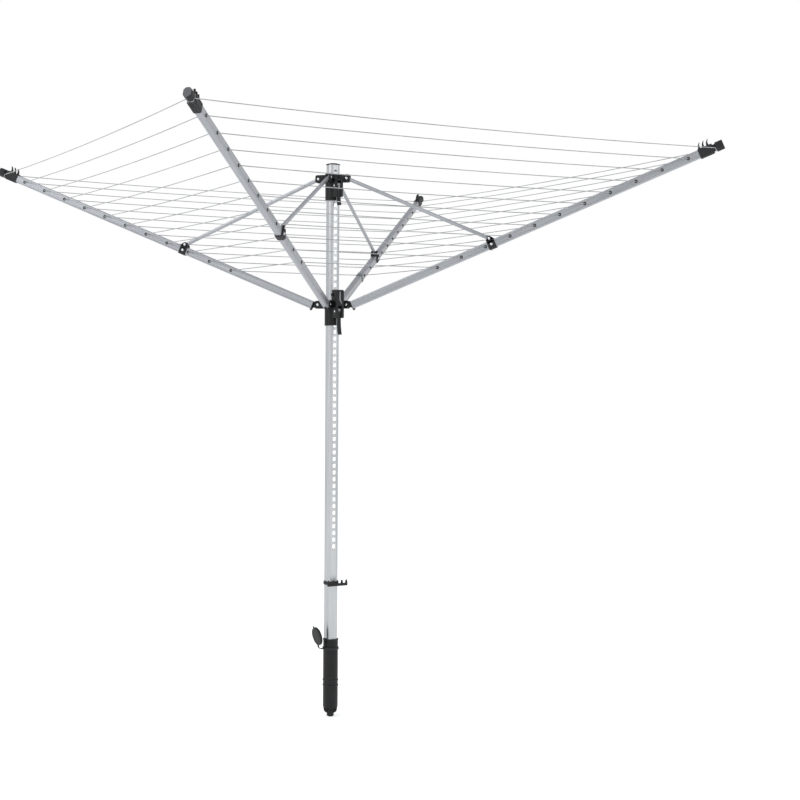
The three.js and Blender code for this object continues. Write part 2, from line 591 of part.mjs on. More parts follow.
for (const [side, azimuth] of Object.entries(AZIMUTHS)) {
  const arm = linkFrame(azimuth, ARM_PIVOT_Z, ARM_ELEVATION * RAD);
  place(arm, `arm_tube_${side}`, armTube(), ALUMINIUM);
  place(arm, `arm_root_${side}`, armRoot(), PLASTIC);
  place(arm, `end_sleeve_${side}`, endSleeve(), PLASTIC);
  place(arm, `end_cap_${side}`, endCap(), PLASTIC);
  place(arm, `strut_clamp_${side}`, strutClamp(), PLASTIC);
  place(arm, `clamp_rivet_${side}`, rivet(clampHalfWidth, CLAMP_X, ARM_AXIS_Z), STEEL);
  place(arm, `strut_pin_${side}`, rivet(clampHalfWidth, CLAMP_X, ARM_AXIS_Z + CLAMP_PIVOT_ABOVE_AXIS), STEEL);
  place(arm, `arm_pin_${side}`, rivet(EAR_OUTER, 0, 0), STEEL);
  if (side === 'back') place(arm, 'line_clip', lineClip(), GREY_PLASTIC);
  const strut = linkFrame(azimuth, STRUT_PIVOT_Z, -LINK_ANGLE);
  place(strut, `strut_tube_${side}`, strutTube(), ALUMINIUM);
  place(strut, `hub_pin_${side}`, rivet(EAR_OUTER, 0, 0), STEEL);
}

// ---------------------------------------------------------------- clothes line
// A route through given corners, with one section at each corner, in the plane that halves the bend.
class CornerRoute extends THREE.Curve {
  constructor(corners) {
    super();
    this.corners = corners;
  }

  getSpacedPoints() {
    return this.corners;
  }

  computeFrenetFrames() {
    const last = this.corners.length - 1;
    const along = (i) => this.corners[i + 1].clone().sub(this.corners[i]).normalize();
    const frames = { tangents: [], normals: [], binormals: [] };
    let normal = new THREE.Vector3(0, 0, 1);
    for (let i = 0; i <= last; i += 1) {
      const before = along(Math.max(i - 1, 0));
      const after = along(Math.min(i, last - 1));
      const tangent = before.clone().add(after).normalize();
      normal = normal.clone().addScaledVector(tangent, -tangent.dot(normal)).normalize();
      frames.tangents.push(tangent);
      frames.normals.push(normal);
      frames.binormals.push(tangent.clone().cross(normal));
    }
    return frames;
  }
}

// a point of an arm's own frame, in the clothesline's frame
function onArm(azimuth, x, y, z) {
  return new THREE.Vector3(x, y, z)
    .applyAxisAngle(new THREE.Vector3(0, 1, 0), -ARM_ELEVATION * RAD)
    .add(new THREE.Vector3(PIVOT_RADIUS, 0, ARM_PIVOT_Z))
    .applyAxisAngle(new THREE.Vector3(0, 0, 1), azimuth * RAD);
}

function lineRoute() {
  const order = [180, -90, 0]; // the arms passed between leaving the back arm and coming back to it
  const bend = ARM_WIDTH / 2 - 4; // the line bends inside the tube
  const toWall = ARM_WIDTH / 2 - ARM_WALL / 2 - bend;
  const crossing = (azimuth, x, side) => onArm(azimuth, x + toWall * Math.cos(ARM_ELEVATION * RAD), side * bend,
    ARM_AXIS_Z - toWall * Math.sin(ARM_ELEVATION * RAD));
  const corners = [onArm(90, FIRST_HOLE - 30, 0, ARM_AXIS_Z)];
  for (let i = 0; i < HOLE_COUNT; i += 1) {
    const x = holeAt(i);
    corners.push(crossing(90, x, 1));
    for (const azimuth of order) corners.push(crossing(azimuth, x, -1), crossing(azimuth, x, 1));
    corners.push(crossing(90, x, -1));
    if (i < HOLE_COUNT - 1) {
      const above = ARM_AXIS_Z + LINE_STEP_RISE;
      corners.push(onArm(90, x + 20, -4, above), onArm(90, x + HOLE_PITCH - 20, 4, above));
    }
  }
  // the outermost turn lies in the grooves of the end caps
  const x = NECK_START + CAP_NECK - LINE_RADIUS - 1;
  const offNeck = LINE_RADIUS + CLEARANCE - NECK_INSET;
  const halfNeck = ARM_WIDTH / 2 + offNeck;
  const below = ARM_AXIS_Z - ARM_HEIGHT / 2 - offNeck;
  const chamfer = (NECK_CORNER + LINE_RADIUS + CLEARANCE) * (1 - Math.tan(22.5 * RAD));
  const under = (azimuth, side) => {
    const steep = onArm(azimuth, x, side * halfNeck, below + chamfer);
    const level = onArm(azimuth, x, side * (halfNeck - chamfer), below);
    return side < 0 ? [steep, level] : [level, steep];
  };
  const sideY = ARM_WIDTH / 2 + SLEEVE_WALL + 2 * CLEARANCE + LINE_RADIUS;
  corners.push(onArm(90, LAST_HOLE, bend, ARM_AXIS_Z), onArm(90, LAST_HOLE + 1, sideY, ARM_AXIS_Z),
    onArm(90, ARM_END - 2, sideY, ARM_AXIS_Z), onArm(90, x, sideY, ARM_AXIS_Z - 2));
  for (const azimuth of order) {
    corners.push(onArm(azimuth, x, -halfNeck, ARM_AXIS_Z - 3), ...under(azimuth, -1), ...under(azimuth, 1),
      onArm(azimuth, x, halfNeck, ARM_AXIS_Z - 3));
  }
  corners.push(onArm(90, x, -halfNeck, ARM_AXIS_Z - 3), ...under(90, -1), onArm(90, x, 3, below));
  return corners;
}

function clothesLine() {
  const section = new THREE.Shape();
  for (let i = 0; i < LINE_SIDES; i += 1) {
    const angle = (2 * Math.PI * i) / LINE_SIDES;
    const point = [LINE_RADIUS * Math.cos(angle), LINE_RADIUS * Math.sin(angle)];
    if (i === 0) section.moveTo(...point);
    else section.lineTo(...point);
  }
  section.closePath();
  const corners = lineRoute();
  return new THREE.ExtrudeGeometry(section, { steps: corners.length - 1, extrudePath: new CornerRoute(corners) });
}

place(clothesline, 'clothes_line', clothesLine(), LINE);

// ---------------------------------------------------------------- ground socket
function groundSocket() {
  const r = SOCKET_RADIUS;
  const ring = (z) => [[r, z - 3], [r + SOCKET_RING, z - 2], [r + SOCKET_RING, z + 2], [r, z + 3]];
  const floor = footBottom - CLEARANCE;
  const bottom = floor - SOCKET_TIP_LENGTH;
  const tip = SOCKET_TIP_RADIUS;
  return turned([[0, bottom], [tip - 3, bottom], [tip, bottom + 5], [tip, floor - 20], [r - 7, floor - 18],
    [r - 5, floor - 4], [r, floor + 3], ...SOCKET_RINGS.flatMap(ring), [r, -3], [r + 1, 0],
    [RUNNING_RADIUS + 0.2, 0], [RUNNING_RADIUS, floor], [0, floor]]);
}

// a split-free ring round the socket with the strap that holds the lid
function lidStrap() {
  const r = LID_RING_RADIUS;
  const half = LID_RING_HEIGHT / 2;
  const ring = turned([[r, LID_RING_Z - half], [r + 2.4, LID_RING_Z - half], [r + 2.4, LID_RING_Z + half],
    [r, LID_RING_Z + half]]);
  const bendRadius = STRAP_RISE;
  const bendX = LID_HINGE.r - bendRadius;
  const t = STRAP_THICKNESS;
  const shape = new THREE.Shape();
  shape.moveTo(r + 1, LID_RING_Z - t / 2);
  shape.absarc(bendX, LID_RING_Z + bendRadius, bendRadius + t / 2, -Math.PI / 2, 0, false);
  shape.absarc(bendX, LID_RING_Z + bendRadius, bendRadius - t / 2, 0, -Math.PI / 2, true);
  shape.lineTo(r + 1, LID_RING_Z + t / 2);
  shape.closePath();
  return spun(join(ring, plate(shape, STRAP_WIDTH / 2, 5)), LID_AZIMUTH);
}

// the lid stands on its strap; its lip faces the mast
function socketLid() {
  const cup = turned([[0, 0], [LID_RADIUS - 1.5, 0], [LID_RADIUS, 1.5], [LID_RADIUS, LID_THICKNESS + LID_LIP],
    [LID_RADIUS - 2.2, LID_THICKNESS + LID_LIP], [LID_RADIUS - 2.2, LID_THICKNESS], [0, LID_THICKNESS]]);
  const tab = box(LID_RADIUS - 2, LID_RADIUS + 7, -5, 5, 1, 4);
  const middle = LID_THICKNESS / 2;
  const film = new THREE.Shape();
  film.moveTo(-LID_RADIUS - 1.5, middle - LID_FILM / 2);
  film.lineTo(-LID_RADIUS + 1, 0);
  film.lineTo(-LID_RADIUS + 2, 0);
  film.lineTo(-LID_RADIUS + 2, LID_THICKNESS);
  film.lineTo(-LID_RADIUS + 1, LID_THICKNESS);
  film.lineTo(-LID_RADIUS - 1.5, middle + LID_FILM / 2);
  film.closePath();
  const hinge = plate(film, STRAP_WIDTH / 2);
  const standing = join(cup, tab, hinge).translate([LID_RADIUS + 1.5 + LID_FILM_GAP, 0, -middle])
    .rotate([0, -90 + LID_LEAN, 0]);
  return spun(standing.translate([LID_HINGE.r, 0, LID_HINGE.z]), LID_AZIMUTH);
}

place(clothesline, 'ground_socket', groundSocket(), PLASTIC);
place(clothesline, 'lid_strap', lidStrap(), PLASTIC);
place(clothesline, 'socket_lid', socketLid(), PLASTIC);

export default clothesline;
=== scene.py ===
"""Rotary clothesline with four folding arms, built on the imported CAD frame.

Every sub-assembly is a class that holds its sizes, builds its meshes in the CAD's own coordinates
(metres, +Z up, the origin on the mast axis level with the rim of the ground socket) and hands them
to the bodies they ride on.
"""

import logging
import math
from collections.abc import Iterable, Sequence
from dataclasses import dataclass
from enum import Enum

import bmesh
import bpy
from mathutils import Matrix, Vector


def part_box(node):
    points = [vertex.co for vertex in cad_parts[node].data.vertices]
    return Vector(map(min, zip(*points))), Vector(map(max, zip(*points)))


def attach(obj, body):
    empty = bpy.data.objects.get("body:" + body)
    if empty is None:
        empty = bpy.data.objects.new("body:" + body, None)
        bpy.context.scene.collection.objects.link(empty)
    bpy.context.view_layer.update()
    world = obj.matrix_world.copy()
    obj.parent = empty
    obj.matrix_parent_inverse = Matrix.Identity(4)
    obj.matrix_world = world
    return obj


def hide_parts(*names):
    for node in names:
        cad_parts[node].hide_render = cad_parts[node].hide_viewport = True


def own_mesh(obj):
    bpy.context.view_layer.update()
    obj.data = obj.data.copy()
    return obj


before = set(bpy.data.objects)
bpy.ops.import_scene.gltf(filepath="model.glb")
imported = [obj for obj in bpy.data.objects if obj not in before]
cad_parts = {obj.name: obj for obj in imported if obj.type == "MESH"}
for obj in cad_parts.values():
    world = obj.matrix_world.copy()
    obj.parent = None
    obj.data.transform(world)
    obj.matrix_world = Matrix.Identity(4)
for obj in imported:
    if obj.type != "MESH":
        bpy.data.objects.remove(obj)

LOG = logging.getLogger("clothesline")
MM = 0.001
WELD = 1e-6  # points closer than this, in metres, become one
SLIVER = 1e-7  # radii and edges shorter than this, in metres, count as nothing
STRAIGHT = 1e-4  # a corner that turns less than this, in radians, isn't rounded
MOST_OF_EDGE = 0.499  # the most of an edge that one rounded corner may take
MITRE_LIMIT = 0.35  # keeps the sharp corners of an inset outline from running far out
Outline = list[tuple[float, float]]
Ring = list[Vector]
Object, Material = bpy.types.Object, bpy.types.Material
NodeTree, Node, NodeSocket = bpy.types.NodeTree, bpy.types.Node, bpy.types.NodeSocket


class Side(Enum):
    """The four sides that an arm can stand on, with its azimuth in degrees."""

    FRONT = ("front", -90.0)
    RIGHT = ("right", 0.0)
    BACK = ("back", 90.0)
    LEFT = ("left", 180.0)

    @property
    def label(self) -> str:
        """The side's name in the CAD nodes and bodies."""
        return self.value[0]

    @property
    def turn(self) -> Matrix:
        """The turn about the mast that brings +X onto this side."""
        return rotation(self.value[1])


class Slot(Enum):
    """The record's material slots."""

    ALUMINIUM = "aluminium"
    STEEL = "steel_rivet"
    BLACK = "black_plastic"
    GREY = "grey_plastic"
    LINE = "line_pvc"


class Grain(Enum):
    """What the drawing lines of an extruded tube follow."""

    UPRIGHT = "upright"
    UNWRAPPED = "unwrapped"


# ---- placing
def rotation(degrees: float, axis: str = "Z") -> Matrix:
    """A turn about one of the axes."""
    return Matrix.Rotation(math.radians(degrees), 4, axis)


def placed(name: str, data: bpy.types.ID) -> Object:
    """A new object in the scene, which holds the data."""
    obj = bpy.data.objects.new(name, data)
    bpy.context.scene.collection.objects.link(obj)
    return obj


def mirrored(sign: int, near: float, far: float) -> tuple[float, float]:
    """Two distances on one side of a plane, the lower one first."""
    low, high = sorted((sign * near, sign * far))
    return (low, high)


def centre(node: str) -> Vector:
    """The middle of a CAD node's box at rest."""
    low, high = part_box(node)
    return (Vector(low) + Vector(high)) / 2


@dataclass(frozen=True)
class Linkage:
    """Where the arms and struts hang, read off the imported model's pins.

    Attributes:
        radius: distance of the root pivots from the mast axis.
        arm_z: height of the arms' root pivots.
        strut_z: height of the struts' upper pivots.
        elevation: angle of an open arm above level.
        strut_angle: angle of an open strut below level.
        length: distance between a strut's two pivots.
    """

    radius: float
    arm_z: float
    strut_z: float
    elevation: float
    strut_angle: float
    length: float

    PIVOT_ABOVE_AXIS = 10 * MM
    CLAMP_X = 600 * MM
    CLAMP_PIVOT = 23 * MM

    @classmethod
    def from_pins(cls) -> "Linkage":
        """Measures the linkage on the right side's pins.

        Returns:
            The linkage of every side, since all four are alike.
        """
        root, rivet = centre("arm_pin_right"), centre("clamp_rivet_right")
        top, pin = centre("hub_pin_right"), centre("strut_pin_right")
        rise = math.atan2(rivet.z - root.z, rivet.x - root.x)
        elevation = rise + math.atan2(cls.PIVOT_ABOVE_AXIS, cls.CLAMP_X)
        down = math.atan2(top.z - pin.z, pin.x - top.x)
        return cls(root.x, root.z, top.z, elevation, down, (pin - top).length)

    def arm(self, side: Side) -> Matrix:
        """The arm's own frame: origin on the root pivot, +X along the tube."""
        place = Matrix.Translation((self.radius, 0, self.arm_z))
        return side.turn @ place @ Matrix.Rotation(-self.elevation, 4, "Y")

    def strut(self, side: Side) -> Matrix:
        """The strut's own frame: origin on the hub's pivot, +X along the tube."""
        place = Matrix.Translation((self.radius, 0, self.strut_z))
        return side.turn @ place @ Matrix.Rotation(self.strut_angle, 4, "Y")


# ---- outlines
def rounded(corners: Sequence[tuple[float, float, float]], steps: int = 4) -> Outline:
    """Rounds the corners of a polygon.

    Args:
        corners: x, y and corner radius of each corner, anticlockwise.
        steps: number of edges in each rounded corner.

    Returns:
        The rounded outline.
    """
    out: Outline = []
    count = len(corners)
    for i, (x, y, radius) in enumerate(corners):
        here = Vector((x, y))
        before = Vector(corners[i - 1][:2]) - here
        after = Vector(corners[(i + 1) % count][:2]) - here
        half = before.angle(after) / 2
        if radius <= 0 or half > math.pi / 2 - STRAIGHT:
            out.append((x, y))
            continue
        reach = min(
            radius / math.tan(half), before.length * MOST_OF_EDGE, after.length * MOST_OF_EDGE
        )
        size = reach * math.tan(half)
        middle = here + (
            before.normalized() + after.normalized()
        ).normalized() * (size / math.sin(half))
        start = here + before.normalized() * reach - middle
        end = here + after.normalized() * reach - middle
        sweep = math.atan2(start.x * end.y - start.y * end.x, start.dot(end))
        for k in range(steps + 1):
            angle = sweep * k / steps
            cos, sin = math.cos(angle), math.sin(angle)
            out.append(
                (
                    middle.x + start.x * cos - start.y * sin,
                    middle.y + start.x * sin + start.y * cos
                )
            )
    return out


def rectangle(
    x0: float, x1: float, y0: float, y1: float, radius: float = 0.0, steps: int = 4
) -> Outline:
    """A rectangle's outline with rounded corners."""
    return rounded([(x0, y0, radius), (x1, y0, radius), (x1, y1, radius), (x0, y1, radius)], steps)


def inset(outline: Outline, depth: float) -> Outline:
    """Moves an anticlockwise outline inwards by depth, mitred at its corners.

    Args:
        outline: the outline.
        depth: how far it moves, below 0 to grow it.

    Returns:
        The moved outline.
    """
    if not depth:
        return list(outline)
    out: Outline = []
    count = len(outline)
    for i in range(count):
        here = Vector(outline[i])
        into = (here - Vector(outline[i - 1])).normalized()
        away = (Vector(outline[(i + 1) % count]) - here).normalized()
        normal = Vector((-into.y - away.y, into.x + away.x))
        if normal.length < WELD:
            out.append(outline[i])
            continue
        normal.normalize()
        scale = max(MITRE_LIMIT, normal.dot(Vector((-into.y, into.x))))
        moved = here + normal * (depth / scale)
        out.append((moved.x, moved.y))
    return out


def quadratic(
    start: Sequence[float], control: Sequence[float], end: Sequence[float], steps: int = 6
) -> Outline:
    """Points of a quadratic curve, its last one left out.

    Args:
        start: where it starts.
        control: its control point.
        end: where it ends.
        steps: number of points.

    Returns:
        The points.
    """
    out: Outline = []
    for k in range(steps):
        t = k / steps
        out.append(
            tuple(
                (1 - t) ** 2 * a + 2 * t * (1 - t) * b + t * t * c
                for a, b, c in zip(start, control, end)
            )
        )
    return out


def arc(x: float, y: float, radius: float, start: float, end: float, steps: int = 8) -> Outline:
    """Points of an arc between two angles in degrees, both ends included."""
    angles = [math.radians(start + (end - start) * k / steps) for k in range(steps + 1)]
    return [(x + radius * math.cos(a), y + radius * math.sin(a)) for a in angles]


# ---- meshes
class Form:
    """Gathers closed shells into one mesh, in metres."""

    def __init__(self) -> None:
        """Starts with nothing in it."""
        self.bm = bmesh.new()
        self.uv = self.bm.loops.layers.uv.new("UVMap")

    def loft(
        self, rings: Sequence[Ring], loop: bool = False, caps: bool = True, metric: bool = False
    ) -> "Form":
        """Joins rings of equally many points into a shell.

        Args:
            rings: the rings, in order.
            loop: joins the last ring to the first, for a wall with a bore.
            caps: closes the two ends.
            metric: writes UVs in metres, round and along the shell.

        Returns:
            The form itself.
        """
        count = len(rings[0])
        rows = [[self.bm.verts.new(p) for p in ring] for ring in rings]
        around = [0.0]
        for i in range(count):
            around.append(around[-1] + (rings[0][(i + 1) % count] - rings[0][i]).length)
        along = [0.0]
        for a, b in zip(rings, rings[1:]):
            along.append(along[-1] + (b[0] - a[0]).length)
        along.append(along[-1])
        spans = len(rows) if loop else len(rows) - 1
        for r in range(spans):
            low, high = rows[r], rows[(r + 1) % len(rows)]
            for i in range(count):
                j = (i + 1) % count
                face = self.bm.faces.new((low[i], low[j], high[j], high[i]))
                if metric:
                    corners = ((i, r), (i + 1, r), (i + 1, r + 1), (i, r + 1))
                    for corner, (c, d) in zip(face.loops, corners):
                        corner[self.uv].uv = (around[c], along[d])
        if caps and not loop:
            self.bm.faces.new(list(reversed(rows[0])))
            self.bm.faces.new(rows[-1])
        return self

    def slab(
        self,
        outline: Outline,
        y0: float,
        y1: float,
        bevel: float = 0.0,
        place: Matrix = Matrix(),
        steps: int = 2,
    ) -> "Form":
        """An outline in X and Z given thickness along Y, with rounded edges.

        Args:
            outline: anticlockwise points in X and Z.
            y0: the lower face.
            y1: the upper face.
            bevel: radius of the rounded edges.
            place: where the slab goes.
            steps: edges in each rounding.

        Returns:
            The form itself.
        """
        levels = self._levels(y0, y1, bevel, steps)
        rings = [
            [place @ Vector((x, y, z)) for x, z in inset(outline, depth)] for depth, y in levels
        ]
        return self.loft(rings)

    def bar(
        self,
        outline: Outline,
        x0: float,
        x1: float,
        bevel: float = 0.0,
        place: Matrix = Matrix(),
        steps: int = 2,
        metric: bool = False,
    ) -> "Form":
        """An outline in Y and Z drawn out along X, with rounded ends.

        Args:
            outline: anticlockwise points in Y and Z.
            x0: the near end.
            x1: the far end.
            bevel: radius of the rounded edges.
            place: where the bar goes.
            steps: edges in each rounding.
            metric: writes UVs in metres.

        Returns:
            The form itself.
        """
        levels = self._levels(x0, x1, bevel, steps)
        rings = [
            [place @ Vector((x, y, z)) for y, z in inset(outline, depth)] for depth, x in levels
        ]
        return self.loft(rings, metric=metric)

    def tube(
        self,
        outer: Outline,
        inner: Outline,
        x0: float,
        x1: float,
        edge: float = 0.3 * MM,
        place: Matrix = Matrix(),
        metric: bool = True,
    ) -> "Form":
        """A hollow bar along X whose two outlines have equally many points.

        Args:
            outer: outer outline in Y and Z.
            inner: outline of the bore.
            x0: the near end.
            x1: the far end.
            edge: the broken edge at each end.
            place: where the tube goes.
            metric: writes UVs in metres.

        Returns:
            The form itself.
        """
        plan = [
            (outer, 0, x0 + edge), (outer, 0, x1 - edge), (outer, edge, x1), (inner, -edge, x1)
        ]
        plan += [
            (inner, 0, x1 - edge), (inner, 0, x0 + edge), (inner, -edge, x0), (outer, edge, x0)
        ]
        rings = [
            [place @ Vector((x, y, z)) for y, z in inset(shape, depth)] for shape, depth, x in plan
        ]
        return self.loft(rings, loop=True, metric=metric)

    def turned(
        self, profile: Sequence[
            tuple[float, float]
        ], sides: int = 48, place: Matrix = Matrix(), loop: bool = False
    ) -> "Form":
        """A lathe body about Z.

        Args:
            profile: radius and height of each point, counted upwards on the outside.
            sides: faces round the axis.
            place: where the body goes.
            loop: joins the last point to the first, for a wall with a bore.

        Returns:
            The form itself.
        """
        rows = []
        for radius, z in profile:
            if radius < SLIVER:
                rows.append([self.bm.verts.new(place @ Vector((0, 0, z)))])
                continue
            angles = [2 * math.pi * k / sides for k in range(sides)]
            rows.append(
                [
                    self.bm.verts.new(
                        place @ Vector((radius * math.cos(a), radius * math.sin(a), z))
                    )
                    for a in angles
                ]
            )
        pairs = list(zip(rows, rows[1:]))
        if loop:
            pairs.append((rows[-1], rows[0]))
        for low, high in pairs:
            for i in range(sides):
                j = (i + 1) % sides
                corners = [
                    low[i % len(low)], low[j % len(low)], high[j % len(high)], high[i % len(high)]
                ]
                unique = list(dict.fromkeys(corners))
                if len(unique) > 2:
                    self.bm.faces.new(unique)
        return self

    @staticmethod
    def _levels(low: float, high: float, bevel: float, steps: int) -> list[tuple[float, float]]:
        """Inset and place of each ring of a shell with rounded edges.

        Args:
            low: the lower end.
            high: the upper end.
            bevel: radius of the rounded edges.
            steps: edges in each rounding.

        Returns:
            Inset and place of each ring.
        """
        if bevel <= 0:
            return [(0.0, low), (0.0, high)]
        turns = [math.pi / 2 * k / steps for k in range(steps + 1)]
        rise = [(bevel * (1 - math.sin(a)), low + bevel * (1 - math.cos(a))) for a in turns]
        fall = [
            (bevel * (1 - math.sin(a)), high - bevel * (1 - math.cos(a))) for a in reversed(turns)
        ]
        return rise + fall

    def mesh(self, name: str, sharp: float = 32.0) -> Object:
        """Makes the form a plain mesh object with outward faces.

        Args:
            name: the piece's name.
            sharp: edges that turn more than this many degrees stay sharp.

        Returns:
            The new object, at the origin.
        """
        bmesh.ops.remove_doubles(self.bm, verts=self.bm.verts, dist=WELD)
        bmesh.ops.dissolve_degenerate(self.bm, dist=SLIVER, edges=self.bm.edges)
        bmesh.ops.recalc_face_normals(self.bm, faces=self.bm.faces)
        data = bpy.data.meshes.new(name)
        self.bm.to_mesh(data)
        self.bm.free()
        data.shade_smooth()
        data.set_sharp_from_angle(angle=math.radians(sharp))
        return placed(name, data)


def baked(obj: Object) -> Object:
    """Turns an object and its modifiers into a plain mesh object of the same name.

    Args:
        obj: the object.

    Returns:
        The plain object.
    """
    name = obj.name
    bpy.context.view_layer.update()
    source = obj.evaluated_get(bpy.context.evaluated_depsgraph_get())
    data = bpy.data.meshes.new_from_object(source)
    for modifier in list(obj.modifiers):
        obj.modifiers.remove(modifier)
    bpy.data.objects.remove(obj)
    data.name = name
    return placed(name, data)


# ---- node helpers
def linear(colour: str) -> tuple[float, float, float, float]:
    """Turns an sRGB colour such as "c9cbce" into linear RGBA.

    Args:
        colour: six hexadecimal digits.

    Returns:
        Red, green, blue and alpha.
    """
    parts = [int(colour[i : i + 2], 16) / 255 for i in (0, 2, 4)]
    bent = [c / 12.92 if c <= 0.04045 else ((c + 0.055) / 1.055) ** 2.4 for c in parts]
    return (bent[0], bent[1], bent[2], 1.0)


def feed(tree: NodeTree, node: Node, **inputs: object) -> None:
    """Gives a node's inputs their values and links.

    Args:
        tree: the node tree.
        node: the node.
        **inputs: input sockets, with underscores for spaces or "i0" for the first one, each given
            a value, or a socket or node to link from.
    """
    for key, value in inputs.items():
        number = key[0] == "i" and key[1:].isdigit()
        socket = node.inputs[int(key[1:]) if number else key.replace("_", " ")]
        if isinstance(value, Node):
            tree.links.new(value.outputs[0], socket)
        elif isinstance(value, NodeSocket):
            tree.links.new(value, socket)
        else:
            socket.default_value = value


def add(tree: NodeTree, kind: str, settings: dict | None = None, **inputs: object) -> Node:
    """Adds a node to a tree with its settings, values and links.

    Args:
        tree: the node tree.
        kind: the node's type name.
        settings: attributes set on the node, or under "stops" the places and sRGB colours of a
            colour ramp.
        **inputs: its inputs, as feed takes them.

    Returns:
        The new node.
    """
    node = tree.nodes.new(kind)
    for key, value in (settings or {}).items():
        if key != "stops":
            setattr(node, key, value)
            continue
        bar = node.color_ramp.elements
        while len(bar) < len(value):
            bar.new(0.5)
        for element, (place, colour) in zip(bar, value):
            element.position = place
            element.color = linear(colour)
    feed(tree, node, **inputs)
    return node


# ---- finishes
@dataclass(frozen=True)
class Finish:
    """A finish, which makes its own procedural material.

    Attributes:
        name: the material's name.
    """

    name: str

    def build(self) -> Material:
        """Makes the material.

        Returns:
            The material, with its nodes.
        """
        material = bpy.data.materials.new(self.name)
        material.use_nodes = True
        tree = material.node_tree
        self.dress(tree, tree.nodes["Principled BSDF"])
        return material

    def dress(self, tree: NodeTree, shader: Node) -> None:
        """Adds the finish's nodes and feeds the shader from them.

        Args:
            tree: the material's node tree.
            shader: its shader.
        """
        raise NotImplementedError


@dataclass(frozen=True)
class Aluminium(Finish):
    """Drawn and anodised aluminium: a soft metallic sheen with fine lines along the tube.

    Attributes:
        light: the lighter tone.
        dark: the darker tone.
        roughness: middle of the roughness range.
        grain: what the drawing lines follow.
    """

    light: str = "d3d5d7"
    dark: str = "b9bcbf"
    roughness: float = 0.34
    grain: Grain = Grain.UNWRAPPED

    # Cells in each metre, across and along the tube. Real die lines are a few hundredths of a
    # millimetre wide, too fine to show, so they are drawn about 2 mm wide and 250 mm long.
    LINES = (520, 4)
    BANDS = (60, 2.2)
    SPOTS = 35.0
    ROUGHNESS_RANGE = 0.16

    def dress(self, tree: NodeTree, shader: Node) -> None:
        """Adds the die lines, the broad bands and the uneven gloss of the anodising.

        Args:
            tree: the material's node tree.
            shader: its shader.
        """
        where = add(tree, "ShaderNodeTexCoord")
        upright = self.grain is Grain.UPRIGHT
        source = where.outputs["Object" if upright else "UV"]
        sizes = [(n, n, run) if upright else (n, run, 1) for n, run in (self.LINES, self.BANDS)]
        lines, bands = (
            add(tree, "ShaderNodeMapping", Vector=source, Scale=size) for size in sizes
        )
        drawn = add(tree, "ShaderNodeTexNoise", Vector=lines, Scale=1.0, Detail=1.0, Roughness=0.5)
        cloud = add(
            tree, "ShaderNodeTexNoise", Vector=bands, Scale=1.0, Detail=4.0, Roughness=0.55
        )
        spots = add(
            tree, "ShaderNodeTexNoise", Vector=where.outputs[
                "Object"
            ], Scale=self.SPOTS, Detail=3.0, Roughness=0.6
        )
        tone = add(tree, "ShaderNodeMath", {"operation": "ADD"}, i0=drawn, i1=cloud)
        share = add(tree, "ShaderNodeMapRange", i0=tone, i1=0.7, i2=1.3, i3=0, i4=1)
        colour = add(
            tree, "ShaderNodeValToRGB", {"stops": ((0.0, self.dark), (1.0, self.light))}, i0=share
        )
        least = self.roughness - self.ROUGHNESS_RANGE / 2
        gloss = add(
            tree, "ShaderNodeMath", {"operation": "MULTIPLY_ADD"}, i0=spots,
            i1=self.ROUGHNESS_RANGE, i2=least
        )
        bump = add(tree, "ShaderNodeBump", Strength=0.03, Distance=0.0001, Height=drawn)
        feed(tree, shader, Base_Color=colour, Metallic=0.85, Roughness=gloss, Normal=bump)


@dataclass(frozen=True)
class BrightBore(Finish):
    """The pale, matt inside of the mast: a painted glow for the daylight its perforations let in.

    Attributes:
        light: the lighter tone.
        dark: the darker tone.
        glow: strength of the painted light it gives off, in its own colours.
    """

    name: str = "mast_bore_painted_glow"
    light: str = "f4f4f3"
    dark: str = "dcdddd"
    glow: float = 0.55

    def dress(self, tree: NodeTree, shader: Node) -> None:
        """Adds the drawn lines of the bore, about 2 mm wide so that they show, and its painted
        glow.

        Args:
            tree: the material's node tree.
            shader: its shader.
        """
        where = add(tree, "ShaderNodeTexCoord").outputs["Object"]
        stretch = add(tree, "ShaderNodeMapping", Vector=where, Scale=(500, 500, 9))
        lines = add(tree, "ShaderNodeTexNoise", Vector=stretch, Scale=1.0, Detail=4.0)
        colour = add(
            tree, "ShaderNodeValToRGB", {"stops": ((0.3, self.dark), (0.7, self.light))}, i0=lines
        )
        rough = add(tree, "ShaderNodeMapRange", i0=lines, i1=0.3, i2=0.7, i3=0.45, i4=0.65)
        bump = add(tree, "ShaderNodeBump", Strength=0.1, Distance=0.0002, Height=lines)
        feed(tree, shader, Base_Color=colour, Roughness=rough, Normal=bump)
        # Painted light: the bore gives off light in its own colours, standing in for the daylight
        # let in through the perforations.
        feed(tree, shader, Emission_Color=colour, Emission_Strength=self.glow)


